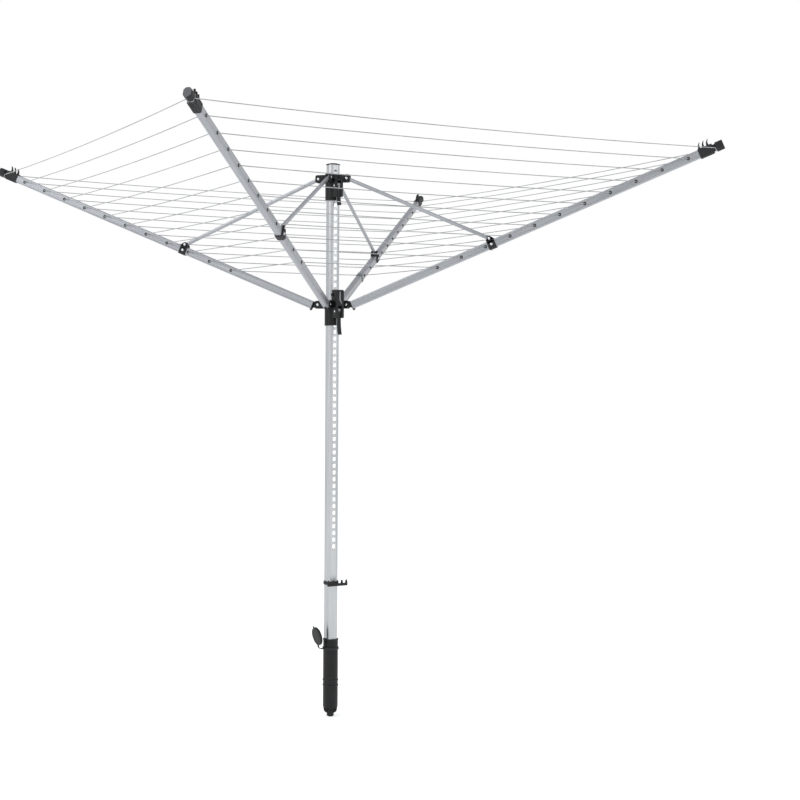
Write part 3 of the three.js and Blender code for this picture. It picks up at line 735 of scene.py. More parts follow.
@dataclass(frozen=True)
class MouldedPlastic(Finish):
    """Injection-moulded plastic with a spark-eroded grain and edges rubbed a little paler.

    Attributes:
        body: the main colour.
        worn: the colour of rubbed edges and dust.
        roughness: middle of the roughness range.
        grain: grains in each metre, 2600 for pits of about 0.4 mm.
        depth: depth of the grain.
    """

    body: str = "0c0d0e"
    worn: str = "37383a"
    roughness: float = 0.5
    grain: float = 2600.0
    depth: float = 0.12 * MM

    # Cells in each metre: handling marks of about 35 mm and scuffs of about 4 mm.
    DUST = 28.0
    SCUFFS = 240.0

    def dress(self, tree: NodeTree, shader: Node) -> None:
        """Adds the dust, the scuffs, the rubbed edges and the moulded grain.

        Args:
            tree: the material's node tree.
            shader: its shader.
        """
        where = add(tree, "ShaderNodeTexCoord").outputs["Object"]
        flow = add(
            tree, "ShaderNodeTexNoise", Vector=where, Scale=self.DUST, Detail=5.0, Roughness=0.6
        )
        scuff = add(
            tree, "ShaderNodeTexNoise", Vector=where, Scale=self.SCUFFS, Detail=4.0, Roughness=0.65
        )
        pointed = add(tree, "ShaderNodeNewGeometry").outputs["Pointiness"]
        edge = add(tree, "ShaderNodeMapRange", i0=pointed, i1=0.52, i2=0.62, i3=0.0, i4=1.0)
        rubbed = add(tree, "ShaderNodeMath", {"operation": "MULTIPLY"}, i0=edge, i1=scuff)
        dust = add(tree, "ShaderNodeMapRange", i0=flow, i1=0.45, i2=0.8, i3=0.0, i4=0.16)
        share = add(
            tree, "ShaderNodeMath", {"operation": "ADD", "use_clamp": True}, i0=rubbed, i1=dust
        )
        mix = add(
            tree, "ShaderNodeMix", {"data_type": "RGBA"}, i0=share, i6=linear(self.body),
            i7=linear(self.worn)
        )
        low, high = self.roughness - 0.07, self.roughness + 0.09
        rough = add(tree, "ShaderNodeMapRange", i0=scuff, i1=0.3, i2=0.7, i3=low, i4=high)
        pits = add(tree, "ShaderNodeTexVoronoi", Vector=where, Scale=self.grain)
        bump = add(tree, "ShaderNodeBump", Strength=0.35, Distance=self.depth, Height=pits)
        feed(tree, shader, Base_Color=mix.outputs[2], Roughness=rough, Normal=bump)
        feed(tree, shader, IOR=1.45, Specular_IOR_Level=0.34)


@dataclass(frozen=True)
class ZincSteel(Finish):
    """Bright zinc-plated steel with a crystalline spangle of about 2 mm and a fine haze."""

    name: str = "zinc_plated_steel"

    def dress(self, tree: NodeTree, shader: Node) -> None:
        """Adds the spangle and the haze.

        Args:
            tree: the material's node tree.
            shader: its shader.
        """
        where = add(tree, "ShaderNodeTexCoord").outputs["Object"]
        spangle = add(tree, "ShaderNodeTexVoronoi", Vector=where, Scale=420.0)
        haze = add(tree, "ShaderNodeTexNoise", Vector=where, Scale=900.0, Detail=4.0)
        colour = add(
            tree, "ShaderNodeValToRGB", {"stops": ((0.0, "dfe0e2"), (1.0, "bfc2c6"))}, i0=spangle
        )
        rough = add(tree, "ShaderNodeMapRange", i0=haze, i1=0.3, i2=0.7, i3=0.16, i4=0.34)
        bump = add(tree, "ShaderNodeBump", Strength=0.1, Distance=0.0001, Height=haze)
        feed(tree, shader, Base_Color=colour, Metallic=1.0, Roughness=rough, Normal=bump)


@dataclass(frozen=True)
class LineCover(Finish):
    """Soft PVC cover of the clothes line, with a faint twist of the core and some weathering.

    Attributes:
        clean: the colour where it is clean.
        grimy: the colour where it has weathered.
    """

    name: str = "pvc_line_cover"
    clean: str = "9ea0a1"
    grimy: str = "828485"

    def dress(self, tree: NodeTree, shader: Node) -> None:
        """Adds the grime, in stretches of about 110 mm, and the twist, about 9 mm a turn.

        Args:
            tree: the material's node tree.
            shader: its shader.
        """
        where = add(tree, "ShaderNodeTexCoord").outputs["Object"]
        grime = add(tree, "ShaderNodeTexNoise", Vector=where, Scale=9.0, Detail=6.0, Roughness=0.7)
        share = add(tree, "ShaderNodeMapRange", i0=grime, i1=0.35, i2=0.7, i3=0, i4=1)
        colour = add(
            tree, "ShaderNodeValToRGB", {"stops": ((0.0, self.clean), (1.0, self.grimy))}, i0=share
        )
        rough = add(tree, "ShaderNodeMapRange", i0=grime, i1=0.3, i2=0.7, i3=0.38, i4=0.55)
        twist = add(
            tree, "ShaderNodeTexWave", {"bands_direction": "DIAGONAL"}, Vector=where, Scale=110.0,
            Distortion=1.5
        )
        bump = add(tree, "ShaderNodeBump", Strength=0.15, Distance=0.0001, Height=twist.outputs[1])
        feed(tree, shader, Base_Color=colour, Roughness=rough, Normal=bump)


class Palette:
    """The finishes of the whole object, each made once."""

    def __init__(self) -> None:
        """Builds every finish."""
        self.mast = Aluminium("anodised_mast", "bfc2c4", "a7aaad", 0.33, Grain.UPRIGHT).build()
        self.bore = BrightBore().build()
        self.tube = Aluminium("anodised_tube", "a8abaf", "92959a", 0.36).build()
        self.steel = ZincSteel().build()
        self.black = MouldedPlastic("black_moulded_plastic").build()
        # The end caps' paler end faces: a painted highlight, not a plastic of their own.
        self.end_face_highlight = MouldedPlastic(
            "end_face_painted_highlight", "505356", "707375", 0.55
        ).build()
        self.bush = MouldedPlastic("black_bush_nylon", "0b0c0d", "28292a", 0.4, 3400.0).build()
        self.grey = MouldedPlastic("grey_moulded_plastic", "7c8084", "a5a8aa").build()
        self.line = LineCover().build()


def hand_over(
    obj: Object,
    body: str,
    material: Material | None = None,
    stands_for: Iterable[str] = (),
) -> Object:
    """Dresses a finished piece and lets it ride on its body.

    Args:
        obj: the piece, its mesh final.
        body: the CAD body it moves with.
        material: its finish, unless its mesh has one already.
        stands_for: the CAD nodes it replaces.

    Returns:
        The piece.
    """
    if material is not None:
        obj.data.materials.clear()
        obj.data.materials.append(material)
    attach(obj, body)
    nodes = tuple(stands_for)
    if nodes:
        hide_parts(*nodes)
    obj.data.calc_loop_triangles()
    LOG.info("%-24s %6d triangles on %s", obj.name, len(obj.data.loop_triangles), body)
    return obj


# ---- geometry nodes
class NodeShop:
    """Geometry Nodes trees for what repeats or follows a path, each built once."""

    def __init__(self) -> None:
        """Builds the three trees."""
        self.row = self._row()
        self.circle = self._circle()
        self.cords = self._cords()

    @staticmethod
    def _tree(name: str, inputs: Sequence[tuple[str, str, object]]) -> tuple[NodeTree, Node]:
        """Starts a tree with geometry in and out and named inputs.

        Args:
            name: the tree's name.
            inputs: name, socket type and default of each further input.

        Returns:
            The tree and its input node.
        """
        tree = bpy.data.node_groups.new(name, "GeometryNodeTree")
        tree.interface.new_socket("Geometry", in_out="INPUT", socket_type="NodeSocketGeometry")
        for label, kind, default in inputs:
            socket = tree.interface.new_socket(label, in_out="INPUT", socket_type=kind)
            if default is not None:
                socket.default_value = default
        tree.interface.new_socket("Geometry", in_out="OUTPUT", socket_type="NodeSocketGeometry")
        return tree, add(tree, "NodeGroupInput")

    @staticmethod
    def _close(tree: NodeTree, source: NodeSocket, gate: Node) -> NodeTree:
        """Ends a tree in Realize Instances and Set Material.

        Args:
            tree: the tree.
            source: the geometry so far.
            gate: the input node, with a Material socket.

        Returns:
            The tree.
        """
        real = add(tree, "GeometryNodeRealizeInstances", Geometry=source)
        dressed = add(
            tree, "GeometryNodeSetMaterial", Geometry=real, Material=gate.outputs["Material"]
        )
        add(tree, "NodeGroupOutput", Geometry=dressed)
        return tree

    def _row(self) -> NodeTree:
        """Copies of a unit at equal steps along a vector, welded where they meet.

        Returns:
            The tree.
        """
        tree, gate = self._tree(
            "row_of_units",
            [
                ("Count", "NodeSocketInt", 2),
                ("Step", "NodeSocketVector", (0.1, 0, 0)),
                ("Weld", "NodeSocketFloat", WELD),
                ("Material", "NodeSocketMaterial", None),
            ],
        )
        line = add(
            tree, "GeometryNodeMeshLine", Count=gate.outputs["Count"], Offset=gate.outputs["Step"]
        )
        spread = add(
            tree, "GeometryNodeInstanceOnPoints", Points=line, Instance=gate.outputs["Geometry"]
        )
        real = add(tree, "GeometryNodeRealizeInstances", Geometry=spread)
        welded = add(
            tree, "GeometryNodeMergeByDistance", Geometry=real, Distance=gate.outputs["Weld"]
        )
        return self._close(tree, welded.outputs[0], gate)

    def _circle(self) -> NodeTree:
        """Copies of a unit turned about Z by equal steps.

        Returns:
            The tree.
        """
        tree, gate = self._tree(
            "ring_of_units",
            [
                ("Count", "NodeSocketInt", 12),
                ("Step", "NodeSocketFloat", 0.5),
                ("Start", "NodeSocketFloat", 0.0),
                ("Material", "NodeSocketMaterial", None),
            ],
        )
        line = add(tree, "GeometryNodeMeshLine", Count=gate.outputs["Count"], Offset=(0, 0, 0))
        index = add(tree, "GeometryNodeInputIndex")
        angle = add(
            tree, "ShaderNodeMath", {
                "operation": "MULTIPLY_ADD"
            }, i0=index, i1=gate.outputs["Step"], i2=gate.outputs["Start"]
        )
        turn = add(tree, "ShaderNodeCombineXYZ", Z=angle)
        spread = add(
            tree, "GeometryNodeInstanceOnPoints", Points=line, Instance=gate.outputs[
                "Geometry"
            ], Rotation=turn
        )
        return self._close(tree, spread.outputs[0], gate)

    def _cords(self) -> NodeTree:
        """A round cover swept along every curve given.

        Returns:
            The tree.
        """
        tree, gate = self._tree(
            "covered_cords",
            [
                ("Radius", "NodeSocketFloat", 0.0015),
                ("Sides", "NodeSocketInt", 8),
                ("Material", "NodeSocketMaterial", None),
            ],
        )
        section = add(
            tree, "GeometryNodeCurvePrimitiveCircle", Resolution=gate.outputs["Sides"],
            Radius=gate.outputs["Radius"]
        )
        swept = add(
            tree, "GeometryNodeCurveToMesh", Curve=gate.outputs[
                "Geometry"
            ], Profile_Curve=section, Fill_Caps=True
        )
        smooth = add(tree, "GeometryNodeSetShadeSmooth", Geometry=swept)
        return self._close(tree, smooth.outputs[0], gate)

    @staticmethod
    def run(obj: Object, tree: NodeTree, **values: object) -> Object:
        """Runs a tree on an object and makes the result a plain mesh.

        Args:
            obj: the unit mesh or the curves.
            tree: one of the shop's trees.
            **values: the tree's named inputs.

        Returns:
            The finished piece, without modifiers.
        """
        modifier = obj.modifiers.new(tree.name, "NODES")
        modifier.node_group = tree
        for item in tree.interface.items_tree:
            if item.item_type == "SOCKET" and item.in_out == "INPUT" and item.name in values:
                modifier[item.identifier] = values[item.name]
        return baked(obj)


# ---- rivets
@dataclass(frozen=True)
class RivetMaker:
    """Domed rivets, with a head at each end of the shank.

    Attributes:
        shank: shank radius.
        head: head radius.
        thickness: head thickness.
        sides: faces round the axis.
    """

    shank: float = 3.0 * MM
    head: float = 5.0 * MM
    thickness: float = 2.0 * MM
    sides: int = 32

    def add_to(self, form: Form, half_grip: float, place: Matrix) -> None:
        """Adds one rivet whose shank lies along the local Y axis.

        Args:
            form: the form that takes it.
            half_grip: half of the thickness it holds, with its clearance.
            place: the rivet's frame.
        """
        h, t = self.head, self.thickness
        end = half_grip + t
        dome = [
            (0.0, end), (h * 0.3, end - 0.03 * t), (h * 0.62, end - 0.16 * t),
            (h * 0.86, end - 0.42 * t)
        ]
        dome += [
            (h * 0.97, end - 0.7 * t), (h, end - 0.86 * t), (h, half_grip + 0.05 * t),
            (h * 0.97, half_grip)
        ]
        profile = dome + [(self.shank, half_grip)]
        profile += [(r, -z) for r, z in reversed(profile)]
        form.turned(list(reversed(profile)), self.sides, place @ rotation(90, "X"))


# ---- mast
@dataclass
class Mast:
    """The perforated mast with its cap, foot and hanger rack.

    Attributes:
        shop: the Geometry Nodes trees.
        palette: the finishes.
        radius: outer radius.
        wall: wall thickness.
        strip_half: half of the width of each flat strip.
        recess: depth of the strips below the round of the tube.
        slot_width: width of a perforation.
        slot_height: height of a perforation.
        pitch: from perforation to perforation.
        start: height of the lowest perforation.
        bare_top: least height of plain strip above the highest perforation.
        lap: how far a strip reaches in under the round of the tube.
        rack_z: height of the hanger rack's lower face.
        rack_height: height of the rack.
        rack_reach: distance of its toothed bar from the mast axis.
        rack_length: length of the bar.
    """

    shop: NodeShop
    palette: Palette
    radius: float = 25 * MM
    wall: float = 1.8 * MM
    strip_half: float = 10.5 * MM
    recess: float = 0.8 * MM
    slot_width: float = 12 * MM
    slot_height: float = 14.5 * MM
    pitch: float = 25.4 * MM
    start: float = 350 * MM
    bare_top: float = 22 * MM
    lap: float = 0.35 * MM
    rack_z: float = 205 * MM
    rack_height: float = 12 * MM
    rack_reach: float = 52 * MM
    rack_length: float = 84 * MM

    PIERCED = (-45, 135)
    PLAIN = (45, 225)
    RACK_AZIMUTH = -45

    def __post_init__(self) -> None:
        """Reads the mast's ends off the model."""
        low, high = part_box("mast_tube")
        self.bottom, self.top = low[2], high[2]
        self.flat = math.sqrt(self.radius**2 - self.strip_half**2) - self.recess

    def build(self) -> None:
        """Builds every piece of the mast."""
        self._tube()
        self._strips()
        self._cap()
        self._foot()
        self._rack()

    def _tube(self) -> None:
        """The round quarters between the flat strips, and the two strips without holes."""
        form = Form()
        reach, steps = math.pi / 4 - math.asin(self.strip_half / self.radius), 10
        spokes = [-reach + 2 * reach * i / steps for i in range(steps + 1)]
        section = [(self.radius * math.cos(a), self.radius * math.sin(a)) for a in spokes]
        bore = self.radius - self.wall
        section += [(bore * math.cos(a), bore * math.sin(a)) for a in reversed(spokes)]
        lip = 1.1 * MM
        heights = (self.bottom, self.bottom + lip, self.top - lip, self.top)
        for k in range(4):
            form.loft(self._stacked(90 * k, section, heights))
        for angle in self.PLAIN:
            form.loft(self._plain_strip(angle, self.bottom, self.top))
        last = self.start + (self._count() - 0.5) * self.pitch
        for angle in self.PIERCED:
            form.loft(self._plain_strip(angle, self.bottom, self.start - self.pitch / 2))
            form.loft(self._plain_strip(angle, last, self.top))
        shell = form.mesh("mast_shell", 25)
        shell.data.materials.append(self.palette.mast)
        shell.data.materials.append(self.palette.bore)
        # Faces that look in towards the axis take the bore's finish, whose glow is painted light.
        for face in shell.data.polygons:
            spoke = Vector((face.center.x, face.center.y, 0)).normalized()
            face.material_index = int(face.normal.dot(spoke) < -0.5)
        hand_over(shell, "mast", None, ["mast_tube"])

    @staticmethod
    def _stacked(angle: float, section: Outline, heights: Sequence[float]) -> list[Ring]:
        """A level section turned about the mast and repeated at several heights."""
        spin = rotation(angle)
        return [[spin @ Vector((x, y, z)) for x, y in section] for z in heights]

    def _plain_strip(self, angle: float, z0: float, z1: float) -> list[Ring]:
        """Two rings of a strip without holes, between two heights.

        Args:
            angle: the strip's azimuth in degrees.
            z0: its lower end.
            z1: its upper end.

        Returns:
            The rings.
        """
        w, slope = self.strip_half + self.lap, 1.2 * MM
        out, back = self.flat, self.flat - self.wall
        section = [(out, -w), (out, w), (back, w - slope), (back, slope - w)]
        return self._stacked(angle, section, (z0, z1))

    def _count(self) -> int:
        """Number of perforations in a strip."""
        return int((self.top - self.bare_top - self.start) / self.pitch) + 1

    def _strips(self) -> None:
        """The two perforated strips: one cell, repeated up the mast by Geometry Nodes."""
        x, y = self.slot_width / 2, self.slot_height / 2
        hole = rectangle(-x, x, -y, y, 2.6 * MM)
        w, h = self.strip_half + self.lap, self.pitch / 2
        border = [self._to_border(x, y, w, h) for x, y in hole]
        out, back, soft = self.flat, self.flat - self.wall, 0.3 * MM
        plan = [(border, out), (inset(hole, -soft), out), (hole, out - soft), (hole, back + soft)]
        plan += [(inset(hole, -soft), back), (border, back)]
        for k, angle in enumerate(self.PIERCED):
            spin = rotation(angle)
            rings = [
                [spin @ Vector((x, y, z + self.start)) for y, z in shape] for shape, x in plan
            ]
            cell = Form().loft(rings, caps=False).mesh(f"mast_strip_{k + 1}", 40)
            strip = self.shop.run(
                cell,
                self.shop.row,
                Count=self._count(),
                Step=(0.0, 0.0, self.pitch),
                Weld=0.02 * MM,
                Material=self.palette.mast,
            )
            hand_over(strip, "mast", None, ["mast_tube"])

    @staticmethod
    def _to_border(x: float, y: float, w: float, h: float) -> tuple[float, float]:
        """Pushes a point of the hole's outline out onto the cell's rectangular border."""
        scale = min(w / abs(x) if x else 1e9, h / abs(y) if y else 1e9)
        return (x * scale, y * scale)

    def _cap(self) -> None:
        """The thin domed cap with a rolled rim."""
        low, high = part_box("mast_cap")
        base, top, r = self.top + 0.4 * MM, high[2], 27.5 * MM
        plug = self.flat - self.wall - 0.5 * MM
        rim = arc(r - 1.4 * MM, base + 1.5 * MM, 1.4 * MM, -85, 70, 6)
        profile = [
            (0.0, low[2]), (plug - MM, low[2]), (plug, low[2] + 2 * MM), (plug, base),
            (r - 1.6 * MM, base)
        ]
        profile += rim
        peak = top - rim[-1][1]
        profile += [
            (r * c, rim[-1][1] + peak * (1 - (c / 0.97) ** 2))
            for c in (0.86, 0.74, 0.6, 0.45, 0.28, 0.12)
        ]
        profile += [(0.0, top)]
        hand_over(
            Form().turned(profile, 64).mesh("mast_cap_dome"), "mast",
            self.palette.black, ["mast_cap"]
        )

    def _foot(self) -> None:
        """The bearing plug that the mast turns on inside the socket."""
        low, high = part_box("mast_foot")
        z0, z1, top = low[2], self.bottom - 0.4 * MM, high[2]
        r, plug = self.radius - MM, self.flat - self.wall - 0.5 * MM
        profile = [
            (0.0, z0), (r - 2.4 * MM, z0), (r - 0.7 * MM, z0 + 0.7 * MM), (r, z0 + 2.2 * MM),
            (r, z1 - 0.4 * MM)
        ]
        profile += [(r - 0.4 * MM, z1), (plug, z1)]
        for k in range(3):
            z = z1 + (3 + 5 * k) * MM
            profile += [
                (plug, z), (plug - MM, z + 0.8 * MM), (plug - MM, z + 2 * MM), (plug, z + 2.8 * MM)
            ]
        profile += [(plug - 2 * MM, top), (0.0, top)]
        foot = Form().turned(profile, 48).mesh("mast_bearing_plug")
        hand_over(foot, "mast_foot", self.palette.black, ["mast_foot"])

    def _rack(self) -> None:
        """The clip round the mast with its toothed bar for hangers."""
        spin = rotation(self.RACK_AZIMUTH)
        z0, z1 = self.rack_z, self.rack_z + self.rack_height
        r0, r1 = self.radius + 0.4 * MM, self.radius + 3.8 * MM
        form = Form()
        soft = 0.8 * MM
        band = [
            (r0, z0), (r1 - soft, z0), (r1, z0 + soft), (r1, z1 - soft), (r1 - soft, z1), (r0, z1)
        ]
        form.turned(band, 56, loop=True)
        neck = rectangle(-9 * MM, 9 * MM, z0, z1 - 3 * MM, 1.5 * MM)
        form.bar(neck, r0 + 1.5 * MM, self.rack_reach - 2 * MM, 0.5 * MM, spin)
        for y in (-6.5, 0, 6.5):
            gusset = [
                (r1 - MM, z1 - 3.5 * MM), (self.rack_reach - 3 * MM, z1 - 3.5 * MM),
                (r1 - MM, z1 + 1.5 * MM)
            ]
            form.slab(gusset, (y - 0.9) * MM, (y + 0.9) * MM, 0.3 * MM, spin)
        form.bar(
            self._teeth(z0, z1), self.rack_reach - 3.5 * MM, self.rack_reach + 3.5 * MM, 1.1 * MM,
            spin
        )
        lug = rectangle(-5 * MM, 5 * MM, z0 + MM, z1 - MM, 1.5 * MM)
        form.bar(lug, -r1 - 5 * MM, -r0 - 1.5 * MM, 0.8 * MM, spin)
        hand_over(
            form.mesh("hanger_rack_bar"), "mast", self.palette.black, ["hanger_rack"]
        )

    def _teeth(self, z0: float, z1: float) -> Outline:
        """Outline of the toothed bar in its own plane.

        Args:
            z0: the clip's lower face.
            z1: the clip's upper face.

        Returns:
            The outline.
        """
        half, tooth = self.rack_length / 2, 10 * MM
        corners = [(-half, z0, 2.5 * MM), (half, z0, 2.5 * MM)]
        for k in range(4, -1, -1):
            middle = -half + 4 * MM + k * 19 * MM
            right = half if k == 4 else middle + 4 * MM
            left = -half if k == 0 else middle - 4 * MM
            corners += [(right, z1 - 2 * MM, 2.2 * MM), (middle + 2.1 * MM, z1 + tooth, 1.9 * MM)]
            corners += [(middle - 2.1 * MM, z1 + tooth, 1.9 * MM), (left, z1 - 2 * MM, 2.2 * MM)]
        return rounded(corners, 4)


# ---- hubs
@dataclass
class Hub:
    """A plastic hub on the mast: sleeve, ears for four tubes, lever housing and cam lever.

    Attributes:
        shop: the Geometry Nodes trees.
        palette: the finishes.
        name: "lower" or "upper".
        pivot_z: height of the pivots.
        sleeve_drop: length of the sleeve below the ears.
        housing: bottom, top and reach of the lever housing.
        lever_length: from the pin to the lever's tail.
        pivot_radius: distance of the four pivots from the mast axis.
        bore: inner radius of the sleeve.
        sleeve: outer radius of the sleeve.
        ear_gap: from the middle of a pair of ears to either ear.
        ear_thickness: thickness of an ear.
        ear_half: half of the height of an ear.
        ear_end: how far an ear reaches past its pivot.
        half_width: half of the width of the housing.
        lever_half: half of the width of the lever.
        lever_depth: half of the lever's depth, in and out from the mast.
        lever_flare: how far the lever's tail stands out.
    """

    shop: NodeShop
    palette: Palette
    name: str
    pivot_z: float
    sleeve_drop: float
    housing: tuple[float, float, float]
    lever_length: float
    pivot_radius: float = 56 * MM
    bore: float = 25.4 * MM
    sleeve: float = 29 * MM
    ear_gap: float = 5.4 * MM
    ear_thickness: float = 5 * MM
    ear_half: float = 15 * MM
    ear_end: float = 12 * MM
    half_width: float = 17 * MM
    lever_half: float = 7 * MM
    lever_depth: float = 6.5 * MM
    lever_flare: float = 9 * MM

    LEVER_AZIMUTH = -45

    def __post_init__(self) -> None:
        """Finds the lever's pin."""
        pin = centre(f"{self.name}_lever_pin")
        self.pin = (math.hypot(pin.x, pin.y), pin.z)
        self.spin = rotation(self.LEVER_AZIMUTH)

    def build(self) -> None:
        """Builds the hub, its lever and its pins."""
        self._body()
        self._ribs()
        self._inlay()
        self._lever()
        self._pins()

    def _body(self) -> None:
        """Sleeve, collars, ears and housing."""
        form = Form()
        top, bottom = self.pivot_z + self.ear_half, self.pivot_z - self.ear_half - self.sleeve_drop
        r0, r1, c = self.bore, self.sleeve, 0.7 * MM
        foot, collar = r1 + 1.2 * MM, r1 + 1.6 * MM
        profile = [(r0, bottom + c), (r0 + c, bottom), (foot - c, bottom), (foot, bottom + c)]
        profile += [(foot, bottom + 4 * MM), (r1, bottom + 5 * MM), (r1, top - 3.6 * MM)]
        profile += [
            (collar, top - 2.6 * MM), (collar, top - c), (collar - c, top), (r0 + c, top),
            (r0, top - c)
        ]
        form.turned(profile, 64, loop=True)
        for side in Side:
            self._ears(form, side)
        self._housing(form)
        hand_over(
            form.mesh(f"{self.name}_hub_body"), f"{self.name}_hub", self.palette.black,
            [f"{self.name}_hub"]
        )

    def _ears(self, form: Form, side: Side) -> None:
        """Two ears with raised rims and pin bosses, and the web between their roots.

        Args:
            form: the form that takes them.
            side: the side they stand on.
        """
        place = side.turn @ Matrix.Translation((0, 0, self.pivot_z))
        x0, x1, h = self.bore + 1.5 * MM, self.pivot_radius + self.ear_end, self.ear_half
        shape = rounded([(x0, -h, 0), (x1, -h, 7 * MM), (x1, h, 7 * MM), (x0, h, 0)], 6)
        out = self.ear_gap + self.ear_thickness
        flush, soft, thin = out - 0.9 * MM, 0.3 * MM, 0.7 * MM
        rim = inset(shape, 2.0 * MM)
        raised = [(shape, flush - MM), (shape, out - soft), (inset(shape, soft), out)]
        raised += [(inset(shape, 1.7 * MM), out), (rim, out - soft), (rim, flush - MM)]
        boss = [
            (0.0, out - 1.2 * MM), (8 * MM, out - 1.2 * MM), (8 * MM, out - soft), (7.6 * MM, out),
            (0.0, out)
        ]
        for sign in (-1, 1):
            form.slab(shape, *mirrored(sign, self.ear_gap, flush), 0.5 * MM, place)
            form.loft(
                [[place @ Vector((x, sign * y, z)) for x, z in line] for line, y in raised],
                loop=True
            )
            form.turned(
                boss, 32,
                place @ Matrix.Translation((self.pivot_radius, 0, 0)) @ rotation(-90 * sign, "X")
            )
            for slope in (-1, 1):
                root, tip = -slope * (h - 2 * MM), slope * 4 * MM
                xa, xb = x0 + 4 * MM, self.pivot_radius - 8 * MM
                rib = [(xa, root - thin), (xb, tip - thin), (xb, tip + thin), (xa, root + thin)]
                form.slab(rib, *mirrored(sign, flush - 0.2 * MM, out - 0.2 * MM), 0.0, place)
        web = rectangle(
            -self.ear_gap - MM, self.ear_gap + MM, -h + 1.5 * MM, h - 1.5 * MM, 1.0 * MM
        )
        form.bar(web, x0, 40 * MM, 0.6 * MM, place)

    def _housing(self, form: Form) -> None:
        """The block that holds the lever, open below for its tail.

        Args:
            form: the form that takes it.
        """
        low, high, out = self.housing
        inner = self.bore + 1.2 * MM
        slot_top = self.pin[1] + 19 * MM
        gap = self.lever_half + 0.4 * MM
        w = self.half_width
        cheek = rounded(
            [(inner, low, 0), (out, low, 3 * MM), (out, high, 9 * MM), (inner, high, 2 * MM)], 6
        )
        for sign in (-1, 1):
            form.slab(cheek, *mirrored(sign, gap, w), 1.0 * MM, self.spin, 3)
        face, lid = out - 0.4 * MM, high - 0.3 * MM
        bridge = rounded(
            [
                (inner, slot_top, 0), (face, slot_top, MM), (face, lid, 9 * MM),
                (inner, lid, 2 * MM)
            ],
            6
        )
        form.slab(bridge, -gap - 1.5 * MM, gap + 1.5 * MM, 0.4 * MM, self.spin)
        floor = rectangle(self.bore + 0.4 * MM, self.sleeve + 0.8 * MM, low, slot_top)
        form.slab(floor, -gap - 1.5 * MM, gap + 1.5 * MM, 0.3 * MM, self.spin)
        rib = rectangle(inner + 4 * MM, inner + 6.2 * MM, low + 3 * MM, high - 11 * MM, MM)
        slant = [(out - 7.5 * MM, high - 50 * MM), (out - 5 * MM, high - 50 * MM)]
        slant += [(out - 23.5 * MM, high - 4 * MM), (out - 26 * MM, high - 4 * MM)]
        x0, x1, z0, z1 = inner + 2 * MM, inner + 13 * MM, high - 24 * MM, high - 13 * MM
        wing = rounded([(x0, z0, 0), (x1, z0, 3 * MM), (x1, z1, 3 * MM), (x0, z1, 0)], 5)
        for sign in (-1, 1):
            proud = mirrored(sign, w - 0.5 * MM, w + 0.9 * MM)
            form.slab(rib, *proud, 0.3 * MM, self.spin)
            if self.name == "lower":
                form.slab(slant, *proud, 0.3 * MM, self.spin)
                form.slab(wing, *mirrored(sign, w - MM, w + 6 * MM), 2.2 * MM, self.spin, 3)

    def _inlay(self) -> None:
        """The grey guide on the lower housing's outer face, or the grey pad on the upper lever.

        The guide's slanted leg is a painted highlight along the edge of the lever's head.
        """
        _, high, out = self.housing
        zp = self.pivot_z
        form = Form()
        if self.name == "lower":
            # The upright part is grey; the slanted leg out to 12.5-14.5 mm is a painted highlight,
            # the lit edge of the lever's head.
            run = [
                (-2.6, high - zp - 8 * MM), (-2.6, 16 * MM), (12.5, -8 * MM), (14.5, -8 * MM),
                (2.4, 18 * MM), (2.4, high - zp - 8 * MM)
            ]
        else:
            run = [(-3.2, -24 * MM), (-3.2, -44 * MM), (3.2, -44 * MM), (3.2, -24 * MM)]
            out = self.pin[0] + 7.1 * MM
        shape = rounded([(y * MM, zp + z, 0.8 * MM) for y, z in run], 3)
        form.bar(shape, out - 1.6 * MM, out - 0.05 * MM, 0.35 * MM, self.spin)
        body = "lower_hub" if self.name == "lower" else "upper_lever"
        hand_over(form.mesh(f"{body}_inlay"), body, self.palette.grey)

    def _ribs(self) -> None:
        """Upright ribs round the sleeve below the ears."""
        under = self.pivot_z - self.ear_half
        top, bottom = under - 2 * MM, under - self.sleeve_drop + 6 * MM
        unit = Form().bar(
            rectangle(-1.1 * MM, 1.1 * MM, bottom, top, 0.8 * MM), self.sleeve - 0.6 * MM,
            self.sleeve + 1.0 * MM, 0.4 * MM
        )
        ribs = self.shop.run(
            unit.mesh(f"{self.name}_hub_ribs"),
            self.shop.circle,
            Count=12,
            Step=math.radians(30),
            Material=self.palette.black,
        )
        hand_over(ribs, f"{self.name}_hub")

    def _lever(self) -> None:
        """The cam lever: a black grip over a grey cam that shows at its sides."""
        r, z = self.pin
        length, flare, w = self.lever_length, self.lever_flare, self.lever_half
        bottom, near, far = z - length, r - self.lever_depth, r + self.lever_depth
        line = quadratic(
            (near, z - length * 0.45), (near, z - length * 0.75), (near + flare, bottom), 8
        )
        line += [(near + flare, bottom)]
        line += quadratic(
            (far + flare, bottom + 2 * MM), (far, z - length * 0.7), (far, z - length * 0.4), 8
        )
        line += [(far, z - length * 0.4)]
        line += arc(r, z + 11 * MM - self.lever_depth, self.lever_depth, 0, 180, 10)
        cam = Form().slab(inset(line, 0.8 * MM), -w + 0.9 * MM, w - 0.9 * MM, 0.6 * MM, self.spin)
        body = f"{self.name}_lever"
        hand_over(cam.mesh(f"{body}_cam"), body, self.palette.grey, [body])
        form = Form().slab(self._grip(), -w, w, 1.2 * MM, self.spin, 3)
        for k in range(4):
            at = bottom + (7 + 4.5 * k) * MM
            x0, x1 = self._outer(at) - 1.5 * MM, self._outer(at) + 0.7 * MM
            rib = [(x0, at), (x1, at + 0.5 * MM), (x1, at + 1.5 * MM), (x0, at + 2 * MM)]
            form.slab(rib, -w + 1.5 * MM, w - 1.5 * MM, 0.25 * MM, self.spin)
        hand_over(form.mesh(f"{body}_grip"), body, self.palette.black)

